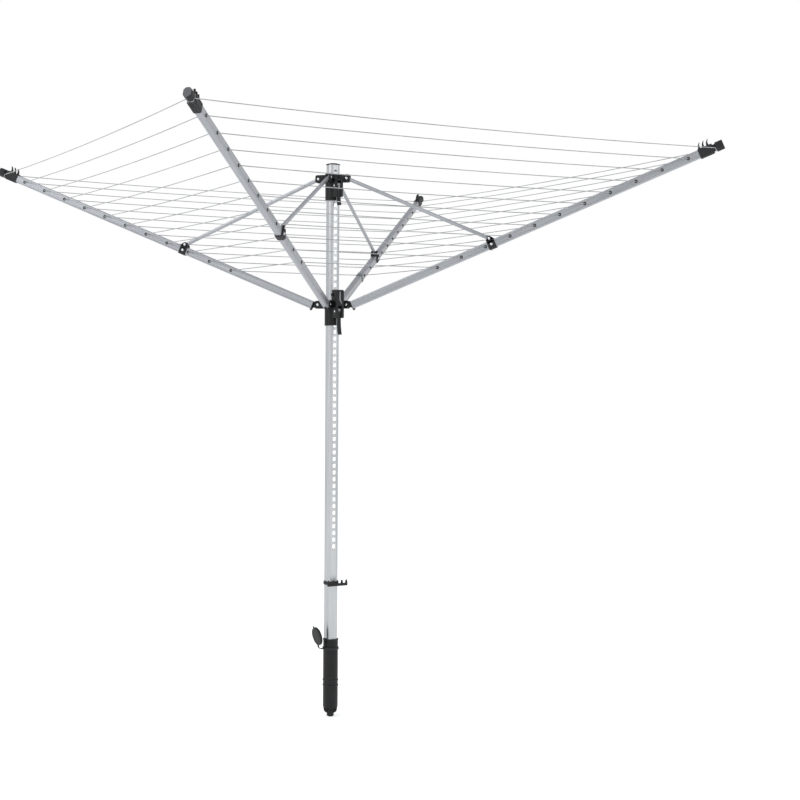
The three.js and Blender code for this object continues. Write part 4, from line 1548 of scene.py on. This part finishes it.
    def _grip(self) -> Outline:
        """Outline of the lever's black outer shell, thicker towards the tail.

        Returns:
            The outline.
        """
        steps, bottom = 12, self.pin[1] - self.lever_length
        outer: Outline = []
        inner: Outline = []
        for k in range(steps + 1):
            at = bottom + self.lever_length * k / steps
            outer.append((self._outer(at), at))
            inner.append((self._outer(at) - self.lever_depth * (1.4 - 0.9 * k / steps), at))
        outer[0] = (self.pin[0] + self.lever_depth + self.lever_flare, bottom + 1.2 * MM)
        inner[0] = (inner[0][0], bottom + 0.4 * MM)
        return outer + inner[::-1]

    def _outer(self, at: float) -> float:
        """Distance of the lever's outer face from the mast at a height.

        Args:
            at: the height.

        Returns:
            The distance.
        """
        straight = 0.4 * self.lever_length
        share = max(0.0, (self.pin[1] - straight - at) / (self.lever_length - straight))
        return self.pin[0] + self.lever_depth + self.lever_flare * share**2

    def _pins(self) -> None:
        """The lever's pin and the four pivots."""
        maker = RivetMaker()
        form = Form()
        maker.add_to(
            form, self.half_width + 0.4 * MM,
            self.spin @ Matrix.Translation((self.pin[0], 0, self.pin[1]))
        )
        nodes = [f"{self.name}_lever_pin"]
        prefix = "arm_pin" if self.name == "lower" else "hub_pin"
        for side in Side:
            place = side.turn @ Matrix.Translation((self.pivot_radius, 0, self.pivot_z))
            maker.add_to(form, self.ear_gap + self.ear_thickness + 0.4 * MM, place)
            nodes.append(f"{prefix}_{side.label}")
        hand_over(
            form.mesh(f"{self.name}_hub_rivets"), f"{self.name}_hub",
            self.palette.steel, nodes
        )


# ---- arms
@dataclass
class Arm:
    """One folding arm: tube, root plug, line bushes, strut clamp, hanger hooks and end cap.

    Attributes:
        shop: the Geometry Nodes trees.
        palette: the finishes.
        linkage: where the arm hangs.
        side: the side it stands on.
        width: the tube's width.
        height: the tube's height.
        wall: the tube's wall.
        corner: the tube's corner radius.
        groove: depth of the grooves drawn in its sides.
        groove_z: distance of the grooves from the tube's axis.
        axis_z: height of the tube's axis above the root pivot.
        start: where the tube starts along the arm.
        first_hole: where the innermost line hole is.
        pitch: from line hole to line hole.
        holes: number of line holes.
        end: where the tube ends.
        sleeve_length: length of the end sleeve.
        clamp_x: where the strut clamp is.
        clamp_length: length of the clamp.
        clamp_pivot: height of the strut's pin above the tube's axis.
        play: room between the tube and what goes round it.
    """

    shop: NodeShop
    palette: Palette
    linkage: Linkage
    side: Side
    width: float = 22 * MM
    height: float = 30 * MM
    wall: float = 1.4 * MM
    corner: float = 4 * MM
    groove: float = 0.8 * MM
    groove_z: float = 9.5 * MM
    axis_z: float = -10 * MM
    start: float = 21 * MM
    first_hole: float = 380 * MM
    pitch: float = 98 * MM
    holes: int = 11
    end: float = 1452 * MM
    sleeve_length: float = 52 * MM
    clamp_x: float = 600 * MM
    clamp_length: float = 29 * MM
    clamp_pivot: float = 23 * MM
    play: float = 0.4 * MM

    def __post_init__(self) -> None:
        """Finds the arm's frame and names."""
        self.place = self.linkage.arm(self.side)
        self.label = self.side.label
        self.body = f"arm_{self.label}"

    def build(self) -> None:
        """Builds every piece of the arm."""
        self._tube()
        self._root()
        self._bushes()
        self._clamp()
        self._sleeve()
        self._horns()
        self._end_cap()
        self._rivets()
        if self.side is Side.BACK:
            self._clip()

    def section(self, grow: float, corner: float, steps: int = 4) -> Outline:
        """The tube's outline, grown or shrunk."""
        w, h = self.width / 2 + grow, self.height / 2 + grow
        return rectangle(-w, w, self.axis_z - h, self.axis_z + h, corner, steps)

    def _grooved(self) -> Outline:
        """The tube's outline with two drawn grooves in each side wall.

        Returns:
            The outline.
        """
        w, h, c, z0 = self.width / 2, self.height / 2, self.corner, self.axis_z
        out: Outline = []
        for sign, first in ((1, -90), (-1, 90)):
            out += arc(sign * (w - c), z0 - sign * (h - c), c, first, first + 90, 4)
            out += self._side(sign)
            out += arc(sign * (w - c), z0 + sign * (h - c), c, first + 90, first + 180, 4)
        return out

    def _side(self, sign: int) -> Outline:
        """The grooves of one side wall, in the outline's running order.

        Args:
            sign: 1 for the side towards larger azimuths, -1 for the other.

        Returns:
            The points.
        """
        y, d, z0 = sign * self.width / 2, self.groove, self.axis_z
        out: Outline = []
        for z in (-self.groove_z * sign, self.groove_z * sign):
            for step, deep in ((-0.9, 0.0), (-0.5, 0.8), (0.0, 1.0), (0.5, 0.8), (0.9, 0.0)):
                out.append((y - sign * d * deep, z0 + z + sign * step * MM))
        return out

    def _collar(
        self, form: Form, x0: float, x1: float, wall: float, steps: int, edge: float
    ) -> None:
        """Adds a sleeve round the tube between two places along it."""
        outer, inner = self.section(
            self.play + wall, 6 * MM, steps
        ), self.section(self.play, 4 * MM, steps)
        form.tube(outer, inner, x0, x1, edge, self.place, metric=False)

    def _repeat(self, unit: Object, count: int, pitch: float, finish: Material) -> None:
        """Repeats a unit along the arm by Geometry Nodes and hands it over.

        Args:
            unit: the unit.
            count: number of copies.
            pitch: from copy to copy.
            finish: their material.
        """
        step = self.place.to_3x3() @ Vector((pitch, 0, 0))
        row = self.shop.run(unit, self.shop.row, Count=count, Step=tuple(step), Material=finish)
        hand_over(row, self.body)

    def _tube(self) -> None:
        """The extruded aluminium tube."""
        outer = self._grooved()
        inner = inset(outer, self.wall)
        form = Form().tube(outer, inner, self.start, self.end, 0.3 * MM, self.place)
        obj = form.mesh(f"arm_{self.label}_tube", 28)
        hand_over(obj, self.body, self.palette.tube, [f"arm_tube_{self.label}"])

    def _root(self) -> None:
        """The plug in the tube's end, with its tongue and stop."""
        form = Form()
        s, z0 = self.start, self.axis_z
        form.bar(
            self.section(-self.wall - 0.4 * MM, 2.6 * MM), s - 1.2 * MM, s + 28 * MM, 0.5 * MM,
            self.place
        )
        form.bar(self.section(-0.4 * MM, 3.6 * MM), s - 3 * MM, s - 0.3 * MM, 0.7 * MM, self.place)
        tongue = arc(0, 0, 9 * MM, 90, 250, 12)
        tongue += [
            (s - 4 * MM, z0 - 10 * MM), (s, z0 - 10 * MM), (s, 4 * MM), (s - 8 * MM, 9 * MM)
        ]
        form.slab(tongue, -5 * MM, 5 * MM, 0.7 * MM, self.place)
        stop = rounded(
            [
                (s - 3 * MM, z0 - 14 * MM, 0), (s + 5 * MM, z0 - 16.4 * MM, MM),
                (s + 2 * MM, z0 - 20 * MM, 1.5 * MM), (s - 3 * MM, z0 - 20.5 * MM, 1.5 * MM)
            ],
            3
        )
        form.slab(stop, -4.2 * MM, 4.2 * MM, 0.6 * MM, self.place)
        obj = form.mesh(f"arm_{self.label}_root_plug")
        hand_over(obj, self.body, self.palette.black, [f"arm_root_{self.label}"])

    def _bushes(self) -> None:
        """Black guide bushes in both walls at every line hole, by Geometry Nodes."""
        form = Form()
        out, bore = self.width / 2, 2.1 * MM
        profile = [
            (bore, -2.4 * MM), (4.0 * MM, -2.4 * MM), (4.0 * MM, 0.0), (6.0 * MM, 0.0),
            (6.1 * MM, 0.6 * MM)
        ]
        profile += [
            (5.5 * MM, 1.25 * MM), (4.2 * MM, 1.6 * MM), (3.0 * MM, 1.5 * MM),
            (2.3 * MM, 0.9 * MM), (bore, 0.2 * MM)
        ]
        for sign in (-1, 1):
            turn = rotation(-90 * sign, "X")
            spot = Matrix.Translation((self.first_hole, sign * out, self.axis_z))
            form.turned(profile, 20, self.place @ spot @ turn, loop=True)
        self._repeat(
            form.mesh(f"arm_{self.label}_bushes"), self.holes, self.pitch, self.palette.bush
        )

    def _clamp(self) -> None:
        """The clamp that holds the strut, with its two ears."""
        form = Form()
        x, half, wall, z0 = self.clamp_x, self.clamp_length / 2, 3 * MM, self.axis_z
        self._collar(form, x - half, x + half, wall, 5, 0.9 * MM)
        pivot, side = z0 + self.clamp_pivot, self.width / 2 + self.play
        out = side + wall
        crown = [(x + half, pivot - 4 * MM)] + arc(
            x, pivot, 9 * MM, 20, 160, 12
        ) + [(x - half, pivot - 4 * MM)]
        ears = ((z0 + 5 * MM, side + 0.2 * MM), (z0 + self.height / 2 + 0.5 * MM, 5.6 * MM))
        for sign in (-1, 1):
            for foot, near in ears:
                ear = [(x - half, foot), (x + half, foot)] + crown
                form.slab(ear, *mirrored(sign, near, out), 0.8 * MM, self.place)
            for end in (-1, 1):
                middle = x + end * (half - 2.6 * MM)
                rib = rectangle(middle - MM, middle + MM, z0 - 13 * MM, pivot - 6 * MM, 0.8 * MM)
                form.slab(
                    rib, *mirrored(sign, out - 0.4 * MM, out + 0.8 * MM), 0.3 * MM, self.place
                )
        obj = form.mesh(f"arm_{self.label}_clamp")
        hand_over(obj, self.body, self.palette.black, [f"strut_clamp_{self.label}"])

    def _sleeve(self) -> None:
        """The sleeve over the tube's end, ribbed below."""
        form = Form()
        x0, x1, wall = self.end - self.sleeve_length, self.end, 2.4 * MM
        self._collar(form, x0, x1, wall, 6, 0.8 * MM)
        low = self.axis_z - self.height / 2 - self.play - wall
        for y in (-5, 0, 5):
            rib = rectangle(x0 + 3 * MM, x1 - 3 * MM, low - 0.9 * MM, low + 1.2 * MM, 0.7 * MM)
            form.slab(rib, (y - 0.8) * MM, (y + 0.8) * MM, 0.3 * MM, self.place)
        edge = self.width / 2 + self.play + wall
        for sign in (-1, 1):
            for z in (self.axis_z - 9 * MM, self.axis_z + 9 * MM):
                rib = rectangle(x0 + 3 * MM, x1 - 3 * MM, z - 0.8 * MM, z + 0.8 * MM, 0.7 * MM)
                form.slab(
                    rib, *mirrored(sign, edge - 0.5 * MM, edge + 0.7 * MM), 0.25 * MM, self.place
                )
        obj = form.mesh(f"arm_{self.label}_sleeve")
        hand_over(obj, self.body, self.palette.black, [f"end_sleeve_{self.label}"])

    def _horns(self) -> None:
        """Three upright hooks for hangers: one, repeated by Geometry Nodes."""
        top = self.axis_z + self.height / 2 + 2.8 * MM
        x = self.end - self.sleeve_length + 8 * MM
        rise = 21 * MM
        line = [(x - 5.5 * MM, top - 1.2 * MM), (x + 5.5 * MM, top - 1.2 * MM)]
        line += quadratic(
            (x + 4.4 * MM, top + 0.8 * MM), (x + 1.6 * MM, top + rise * 0.5),
            (x + 8.2 * MM, top + rise * 0.93), 8
        )
        line += arc(x + 6.7 * MM, top + rise - 1.9 * MM, 1.9 * MM, 10, 150, 6)
        line += quadratic(
            (x + 4.2 * MM, top + rise * 0.86), (x - 3.4 * MM, top + rise * 0.55),
            (x - 4.4 * MM, top + 0.8 * MM), 8
        )[1:]
        line += [(x - 4.4 * MM, top + 0.8 * MM)]
        unit = Form().slab(line, -3.5 * MM, 3.5 * MM, 1.1 * MM, self.place, 3)
        self._repeat(unit.mesh(f"arm_{self.label}_hooks"), 3, 15 * MM, self.palette.black)

    def _end_cap(self) -> None:
        """The end cap with the groove that the outermost line lies in.

        Its end face is a paler plastic, a painted highlight.
        """
        form = Form()
        neck0, neck1 = self.end + 0.2 * MM, self.end + 9.4 * MM
        form.bar(
            self.section(-self.wall - 0.4 * MM, 2.6 * MM), self.end - 24 * MM, neck0 + MM,
            0.5 * MM, self.place
        )
        form.bar(self.section(-2.6 * MM, 5 * MM, 5), neck0, neck1 + MM, 0.3 * MM, self.place)
        w, h, z0 = self.width / 2 + 2.5 * MM, self.height / 2 + 1.5 * MM, self.axis_z
        shape = rounded(
            [
                (0, z0 - h - 2 * MM, 2 * MM),
                (w, z0 - h * 0.5, 1.2 * MM),
                (w, z0 + h * 0.55, 1.2 * MM),
                (w * 0.45, z0 + h, 1.2 * MM),
                (-w * 0.45, z0 + h, 1.2 * MM),
                (-w, z0 + h * 0.55, 1.2 * MM),
                (-w, z0 - h * 0.5, 1.2 * MM),
            ],
            3,
        )
        x0, x1 = neck1, neck1 + 27.5 * MM
        plan = [
            (1.2, x0), (0.35, x0 + 0.35 * MM), (0.0, x0 + 1.2 * MM), (0.0, x1 - 1.1 * MM),
            (0.3, x1 - 0.4 * MM)
        ]
        plan += [(0.9, x1)]
        form.loft(
            [[self.place @ Vector((x, y, z)) for y, z in inset(shape, d * MM)] for d, x in plan]
        )
        obj = form.mesh(f"arm_{self.label}_end_cap")
        # The second finish is a painted highlight: faces that look out along the arm take a paler
        # plastic, where the end face meets the light.
        obj.data.materials.append(self.palette.black)
        obj.data.materials.append(self.palette.end_face_highlight)
        ahead = self.place.to_3x3() @ Vector((1, 0, 0))
        limit = (self.place @ Vector((x1 - 0.2 * MM, 0, 0))).dot(ahead)
        for face in obj.data.polygons:
            face.material_index = int(
                face.normal.dot(ahead) > 0.8 and face.center.dot(ahead) > limit
            )
        hand_over(obj, self.body, None, [f"end_cap_{self.label}"])

    def _rivets(self) -> None:
        """The rivet through the clamp and the strut's pin."""
        form, maker = Form(), RivetMaker()
        grip = self.width / 2 + 3.8 * MM
        for z in (self.axis_z, self.axis_z + self.clamp_pivot):
            maker.add_to(form, grip, self.place @ Matrix.Translation((self.clamp_x, 0, z)))
        nodes = [f"clamp_rivet_{self.label}", f"strut_pin_{self.label}"]
        hand_over(
            form.mesh(f"arm_{self.label}_rivets"), self.body, self.palette.steel, nodes
        )

    def _clip(self) -> None:
        """The small grey clip that holds the line's inner end."""
        form = Form()
        x0, x1 = self.first_hole - 40 * MM, self.first_hole - 24 * MM
        self._collar(form, x0, x1, 2 * MM, 5, 0.6 * MM)
        top = self.axis_z + self.height / 2
        form.bar(
            rectangle(-6 * MM, 6 * MM, top + MM, top + 7 * MM, 2 * MM), x0, x1, 0.9 * MM,
            self.place
        )
        hand_over(
            form.mesh("line_end_clip"), self.body, self.palette.grey, ["line_clip"]
        )


# ---- struts
@dataclass
class Strut:
    """A light tube from the upper hub to the clamp on its arm.

    Attributes:
        palette: the finishes.
        linkage: where the strut hangs.
        side: the side it stands on.
    """

    palette: Palette
    linkage: Linkage
    side: Side
    width: float = 10 * MM
    height: float = 14 * MM
    wall: float = 1.3 * MM

    def build(self) -> None:
        """Builds the tube, whose ends are rounded about their pins."""
        place = self.linkage.strut(self.side)
        length, half = self.linkage.length, self.height / 2
        section = rectangle(-self.width / 2, self.width / 2, -half, half, 3.4 * MM, 5)
        form = Form()
        rings = []
        turns = [math.radians(a) for a in (14, 30, 46, 62, 78)]
        stops = [(-half * math.cos(a), math.sin(a)) for a in turns] + [(0.0, 1.0)]
        stops += [(length, 1.0)] + [
            (length + half * math.cos(a), math.sin(a)) for a in reversed(turns)
        ]
        for x, share in stops:
            rings.append(
                [place @ Vector((x, y * (0.72 + 0.28 * share), z * share)) for y, z in section]
            )
        form.loft(rings, metric=True)
        obj = form.mesh(f"strut_{self.side.label}_tube", 40)
        body = f"strut_{self.side.label}"
        hand_over(obj, body, self.palette.tube, [f"strut_tube_{self.side.label}"])


# ---- clothes line
@dataclass
class ClothesLine:
    """The line's twelve turns, as the half spans on each side of each arm.

    Each net rides on its arm and meets its neighbour's in the middle of the spans.

    Attributes:
        shop: the Geometry Nodes trees.
        palette: the finishes.
        linkage: where the arms hang.
        radius: the line's radius.
        sag: sag of a span two metres long.
        steps: straight pieces in each half span.
    """

    shop: NodeShop
    palette: Palette
    linkage: Linkage
    radius: float = 1.5 * MM
    sag: float = 12 * MM
    steps: int = 9

    HOLES = tuple(Arm.first_hole + Arm.pitch * i for i in range(Arm.holes))
    NECK_X = Arm.end + 6.9 * MM
    NECK_Z = -13 * MM
    HOLE_Y = 9 * MM

    def build(self) -> None:
        """Builds the eight nets, each riding on its arm."""
        for side in Side:
            for hand in (-1, 1):
                self._net(side, hand)

    def _ends(self, side: Side, x: float, hand: int, outermost: bool) -> Vector:
        """Where the line leaves an arm, on one side of it.

        Args:
            side: the arm's side.
            x: distance along the arm.
            hand: which side of the arm, 1 towards larger azimuths.
            outermost: whether the line lies in the end cap's groove.

        Returns:
            The point.
        """
        if outermost:
            y = Arm.width / 2 + self.radius - 2.2 * MM
            return self.linkage.arm(side) @ Vector((x, hand * y, self.NECK_Z))
        return self.linkage.arm(side) @ Vector((x, hand * self.HOLE_Y, Arm.axis_z))

    def _path(self, side: Side, x: float, hand: int, outermost: bool) -> list[Vector]:
        """Points from an arm to the middle of the span on one side of it.

        Args:
            side: the arm's side.
            x: distance along the arm.
            hand: which side of the arm, 1 towards larger azimuths.
            outermost: whether the line lies in the end cap's groove.

        Returns:
            The points of the half span.
        """
        start = self._ends(side, x, hand, outermost)
        order = list(Side)
        neighbour = order[(order.index(side) + hand) % 4]
        end = self._ends(neighbour, x, -hand, outermost)
        span = (end - start).length
        depth = self.sag * (span / 2) ** 2
        points = []
        for k in range(self.steps + 1):
            t = 0.5 * k / self.steps
            point = start.lerp(end, t)
            point.z -= depth * 4 * t * (1 - t)
            points.append(point)
        return points

    def _net(self, side: Side, hand: int) -> None:
        """The twelve half spans on one side of one arm.

        Args:
            side: the arm's side.
            hand: which side of the arm, 1 towards larger azimuths.
        """
        name = f"line_{side.label}_{'left' if hand > 0 else 'right'}"
        curves = bpy.data.curves.new(name, "CURVE")
        curves.dimensions = "3D"
        runs = [self._path(side, x, hand, False) for x in self.HOLES]
        runs.append(self._path(side, self.NECK_X, hand, True))
        if hand > 0:
            runs.append(self._under_cap(side))
        for points in runs:
            spline = curves.splines.new("POLY")
            spline.points.add(len(points) - 1)
            for knot, point in zip(spline.points, points):
                knot.co = (*point, 1.0)
        cover = self.palette.line
        net = self.shop.run(
            placed(name, curves), self.shop.cords, Radius=self.radius, Sides=8, Material=cover
        )
        hand_over(net, f"arm_{side.label}", None, ["clothes_line"])
        self._fold(net, side, hand)

    def _under_cap(self, side: Side) -> list[Vector]:
        """The line's way round the neck of an end cap, below.

        Args:
            side: the arm's side.

        Returns:
            The points.
        """
        arm = self.linkage.arm(side)
        half, low, bend = 10.3 * MM, Arm.axis_z - Arm.height / 2 + 0.7 * MM, 5.2 * MM
        right = arc(half - bend, low + bend, bend, -90, 0, 6) + [(half, self.NECK_Z)]
        shape = [(-y, z) for y, z in reversed(right)] + right
        return [arm @ Vector((self.NECK_X, y, z)) for y, z in shape]

    def _fold(self, net: Object, side: Side, hand: int) -> None:
        """Gives a net its own copy of its mesh.

        Args:
            net: the net.
            side: the arm's side.
            hand: which side of the arm, 1 towards larger azimuths.
        """
        arm = self.linkage.arm(side).to_3x3()
        anchor = self.linkage.arm(side) @ Vector((0.8, hand * 12.5 * MM, -10 * MM))
        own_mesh(net)


# ---- ground socket
@dataclass
class GroundSocket:
    """The socket that stands in the ground, with its lid on a strap.

    Attributes:
        shop: the Geometry Nodes trees.
        palette: the finishes.
        radius: outer radius of the tube.
        bore: inner radius of the tube.
        rings: heights of the two rings round the tube.
        ring: how far a ring stands out.
        strap_z: height of the strap's ring.
        lid_radius: radius of the lid.
        lid_lean: how far the open lid leans from upright, in degrees.
    """

    shop: NodeShop
    palette: Palette
    radius: float = 28.2 * MM
    bore: float = 25.4 * MM
    rings: tuple[float, ...] = (-175 * MM, -155 * MM)
    ring: float = 1.8 * MM
    strap_z: float = -36 * MM
    lid_radius: float = 34 * MM
    lid_lean: float = 12.0

    LID_AZIMUTH = -135
    STRAP_REACH = 24 * MM
    STRAP_BEND = 12 * MM
    STRAP_HALF = 6 * MM

    def __post_init__(self) -> None:
        """Reads the socket's bottom off the model."""
        low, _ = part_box("ground_socket")
        foot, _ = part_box("mast_foot")
        self.bottom, self.floor = low[2], foot[2] - 0.4 * MM
        self.spin = rotation(self.LID_AZIMUTH)

    def build(self) -> None:
        """Builds the socket, the strap and the lid."""
        self._tube()
        self._knurl()
        self._strap()
        self._lid()

    def _tube(self) -> None:
        """The socket's stepped tube."""
        r, tip, b, f = self.radius, 13.5 * MM, self.bottom, self.floor
        profile = [
            (0.0, b), (tip - 3 * MM, b), (tip - 1.2 * MM, b + 1.6 * MM), (tip, b + 5 * MM),
            (tip, f - 20.6 * MM)
        ]
        profile += [
            (r - 8 * MM, f - 19.4 * MM), (r - 7.2 * MM, f - 18 * MM), (r - 5 * MM, f - 4 * MM)
        ]
        profile += [(r - 0.8 * MM, f + 2 * MM), (r, f + 3.4 * MM)]
        for z in self.rings:
            profile += [
                (r, z - 3 * MM), (r + self.ring * 0.8, z - 2.2 * MM), (r + self.ring, z - 1.4 * MM)
            ]
            profile += [
                (r + self.ring, z + 1.4 * MM), (r + self.ring * 0.8, z + 2.2 * MM), (r, z + 3 * MM)
            ]
        profile += [
            (r, -5 * MM), (r + 0.9 * MM, -3.6 * MM), (r + 1.0 * MM, -0.8 * MM), (r + 0.4 * MM, 0.0)
        ]
        profile += [
            (self.bore + 0.8 * MM, 0.0), (self.bore + 0.2 * MM, -0.8 * MM), (self.bore, f),
            (0.0, f)
        ]
        obj = Form().turned(profile, 64).mesh("socket_tube")
        hand_over(obj, "ground_socket", self.palette.black, ["ground_socket"])

    def _knurl(self) -> None:
        """Short grip ribs round the step above the tip, by Geometry Nodes."""
        f, r = self.floor, self.radius
        shape = rounded(
            [
                (r - 6.6 * MM, f - 17 * MM, 0.4 * MM), (r - 4.4 * MM, f - 17 * MM, 0.8 * MM),
                (r - 0.8 * MM, f + 1 * MM, 0.8 * MM), (r - 3.2 * MM, f + 1.6 * MM, 0.4 * MM)
            ],
            3
        )
        unit = Form().slab(shape, -1.0 * MM, 1.0 * MM, 0.4 * MM)
        ribs = self.shop.run(
            unit.mesh(
                "socket_ribs"
            ), self.shop.circle, Count=20, Step=math.radians(18), Material=self.palette.black
        )
        hand_over(ribs, "ground_socket")

    def _strap(self) -> None:
        """The ring round the socket and the bent strap that carries the lid."""
        form = Form()
        r, z, half, c = self.radius + 0.4 * MM, self.strap_z, 4.5 * MM, 0.6 * MM
        band = [
            (r, z - half), (r + 2.4 * MM - c, z - half), (r + 2.4 * MM, z - half + c),
            (r + 2.4 * MM, z + half - c)
        ]
        band += [(r + 2.4 * MM - c, z + half), (r, z + half)]
        form.turned(band, 64, loop=True)
        bend, t = self.STRAP_BEND, 2.4 * MM
        x = r + self.STRAP_REACH - bend
        outer = arc(x, z + bend, bend + t / 2, -90, 0, 12)
        inner = arc(x, z + bend, bend - t / 2, 0, -90, 12)
        shape = [(r + MM, z - t / 2)] + outer + inner + [(r + MM, z + t / 2)]
        form.slab(shape, -self.STRAP_HALF, self.STRAP_HALF, 0.6 * MM, self.spin)
        obj = form.mesh("socket_strap")
        hand_over(obj, "ground_socket", self.palette.black, ["lid_strap"])

    def _lid(self) -> None:
        """The open lid, leaning away from the mast."""
        form = Form()
        r, lip, t = self.lid_radius, 9 * MM, 4 * MM
        tilt = Matrix.Translation(
            (self.radius + 0.4 * MM + self.STRAP_REACH, 0, self.strap_z + self.STRAP_BEND)
        )
        tilt = self.spin @ tilt @ rotation(-90 + self.lid_lean, "Y")
        place = tilt @ Matrix.Translation((r + 2.5 * MM, 0, -t / 2))
        profile = [
            (0.0, 0.0), (r * 0.55, 0.0), (r * 0.57, 0.5 * MM), (r * 0.83, 0.5 * MM),
            (r * 0.85, 0.0), (r - 2.2 * MM, 0.0)
        ]
        profile += [
            (r - 0.7 * MM, 0.5 * MM), (r, 1.8 * MM), (r, lip - 0.6 * MM), (r - 0.5 * MM, lip),
            (r - 1.8 * MM, lip)
        ]
        profile += [
            (r - 2.2 * MM, lip - 0.5 * MM), (r - 2.2 * MM, t + 0.6 * MM), (r - 2.8 * MM, t),
            (r * 0.6, t)
        ]
        profile += [(r * 0.58, t + 1.2 * MM), (r * 0.54, t + 1.2 * MM), (r * 0.52, t), (0.0, t)]
        form.turned(profile, 64, place)
        tab = rounded(
            [
                (r - 2 * MM, -5 * MM, 0), (r + 7 * MM, -5 * MM, 3 * MM),
                (r + 7 * MM, 5 * MM, 3 * MM), (r - 2 * MM, 5 * MM, 0)
            ],
            5
        )
        flat = place @ rotation(90, "X")
        form.slab(tab, -4 * MM, -1 * MM, 0.6 * MM, flat)
        film = [
            (-r - 1.5 * MM, t / 2 - 0.6 * MM), (-r + MM, 0), (-r + 2 * MM, 0), (-r + 2 * MM, t),
            (-r + MM, t), (-r - 1.5 * MM, t / 2 + 0.6 * MM)
        ]
        form.slab(film, -self.STRAP_HALF, self.STRAP_HALF, 0.15 * MM, place)
        obj = form.mesh("socket_lid_cup")
        hand_over(obj, "socket_lid", self.palette.black, ["socket_lid"])


# ---- studio
@dataclass
class Studio:
    """Pale floor, soft light and the camera.

    Attributes:
        eye: the camera's place.
        yaw: turn of the view to the right of +Y, in degrees.
        pitch: tilt of the view above level, in degrees.
        roll: roll of the camera, in degrees.
        lens: focal length on a 36 mm sensor, in millimetres.
        shift: the camera's shift.
    """

    eye: tuple[float, float, float] = (1.5978, -5.2259, 1.0647)
    yaw: float = -17.62
    pitch: float = 1.27
    roll: float = 0.32
    lens: float = 64.472
    shift: tuple[float, float] = (0.104, -0.0927)

    SENSOR = 36.0
    FLOOR_HALF = 60.0
    FLOOR_GLOW = 0.34
    SKY = ((0.0, "ffffff"), (0.67, "ffffff"), (0.78, "cccfd2"), (1.0, "e6e8ea"))
    # Name, place, what it points at, size in metres and power in watts.
    LIGHTS = (
        ("key", (-4.0, -4.5, 5.0), (0, 0, 1.4), 5.0, 170.0),
        ("fill", (5.0, -3.0, 3.0), (0, 0, 1.2), 4.5, 60.0),
    )

    def camera(self) -> None:
        """Places the camera and makes it the scene's own."""
        yaw, pitch, roll = (math.radians(a) for a in (self.yaw, self.pitch, self.roll))
        ahead = Vector(
            (math.sin(yaw) * math.cos(pitch), math.cos(yaw) * math.cos(pitch), math.sin(pitch))
        )
        right = Vector((math.cos(yaw), -math.sin(yaw), 0.0))
        up = right.cross(ahead)
        right, up = right * math.cos(
            roll
        ) + up * math.sin(roll), up * math.cos(roll) - right * math.sin(roll)
        data = bpy.data.cameras.new("camera")
        data.lens, data.sensor_width = self.lens, self.SENSOR
        data.shift_x, data.shift_y = self.shift
        obj = placed("camera", data)
        turn = Matrix((right, up, -ahead)).transposed().to_4x4()
        obj.matrix_world = Matrix.Translation(self.eye) @ turn
        bpy.context.scene.camera = obj

    def floor(self) -> None:
        """A plain pale floor under the socket's tip."""
        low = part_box("ground_socket")[0][2]
        size = self.FLOOR_HALF
        data = bpy.data.meshes.new("floor")
        corners = [(-size, -size, low), (size, -size, low), (size, size, low), (-size, size, low)]
        data.from_pydata(corners, [], [(0, 1, 2, 3)])
        material = bpy.data.materials.new("pale_floor")
        material.use_nodes = True
        tree = material.node_tree
        shader = tree.nodes["Principled BSDF"]
        feed(tree, shader, Base_Color=linear("f7f7f7"), Roughness=0.9, Specular_IOR_Level=0.0)
        feed(tree, shader, Emission_Color=linear("ffffff"), Emission_Strength=self.FLOOR_GLOW)
        data.materials.append(material)
        placed("floor", data)

    def light(self) -> None:
        """Soft white surroundings, brightest at the horizon, with a large key and fill."""
        world = bpy.data.worlds.new("studio")
        bpy.context.scene.world = world
        world.use_nodes = True
        tree = world.node_tree
        where = add(tree, "ShaderNodeTexCoord")
        split = add(tree, "ShaderNodeSeparateXYZ", i0=where.outputs["Generated"])
        share = add(tree, "ShaderNodeMapRange", i0=split.outputs["Z"], i1=-1, i2=1, i3=0, i4=1)
        tone = add(tree, "ShaderNodeValToRGB", {"stops": self.SKY}, i0=share)
        feed(tree, tree.nodes["Background"], Color=tone, Strength=1.0)
        for name, place, aim, size, power in self.LIGHTS:
            self._area(name, place, aim, size, power)
        bpy.context.scene.view_settings.view_transform = "Standard"

    @staticmethod
    def _area(
        name: str, place: tuple[float, float, float], aim: tuple[float, float, float], size: float,
        power: float
    ) -> None:
        """Adds a square area light that points at a spot.

        Args:
            name: the light's name.
            place: where it is.
            aim: the spot it points at.
            size: its width, in metres.
            power: its power, in watts.
        """
        data = bpy.data.lights.new(name, "AREA")
        data.shape, data.size, data.energy = "SQUARE", size, power
        obj = placed(name, data)
        turn = (Vector(aim) - Vector(place)).to_track_quat("-Z", "Y").to_matrix().to_4x4()
        obj.matrix_world = Matrix.Translation(place) @ turn


# ---- the whole
def main() -> None:
    """Builds the clothesline, piece by piece, and its studio."""
    logging.basicConfig(level=logging.INFO, format="%(message)s")
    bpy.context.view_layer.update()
    studio = Studio()
    studio.camera()
    palette, shop, linkage = Palette(), NodeShop(), Linkage.from_pins()
    Mast(shop, palette).build()
    arm_z, strut_z = linkage.arm_z, linkage.strut_z
    lower = Hub(
        shop, palette, "lower", arm_z, 65 * MM, (arm_z - 52 * MM, arm_z + 55 * MM, 62 * MM),
        90 * MM
    )
    upper = Hub(
        shop, palette, "upper", strut_z, 70 * MM, (strut_z - 73 * MM, strut_z - 4 * MM, 50 * MM),
        76 * MM
    )
    for hub in (lower, upper):
        hub.build()
    for side in Side:
        Arm(shop, palette, linkage, side).build()
        Strut(palette, linkage, side).build()
    ClothesLine(shop, palette, linkage).build()
    GroundSocket(shop, palette).build()
    studio.floor()
    studio.light()


if __name__ == "__main__":
    main()
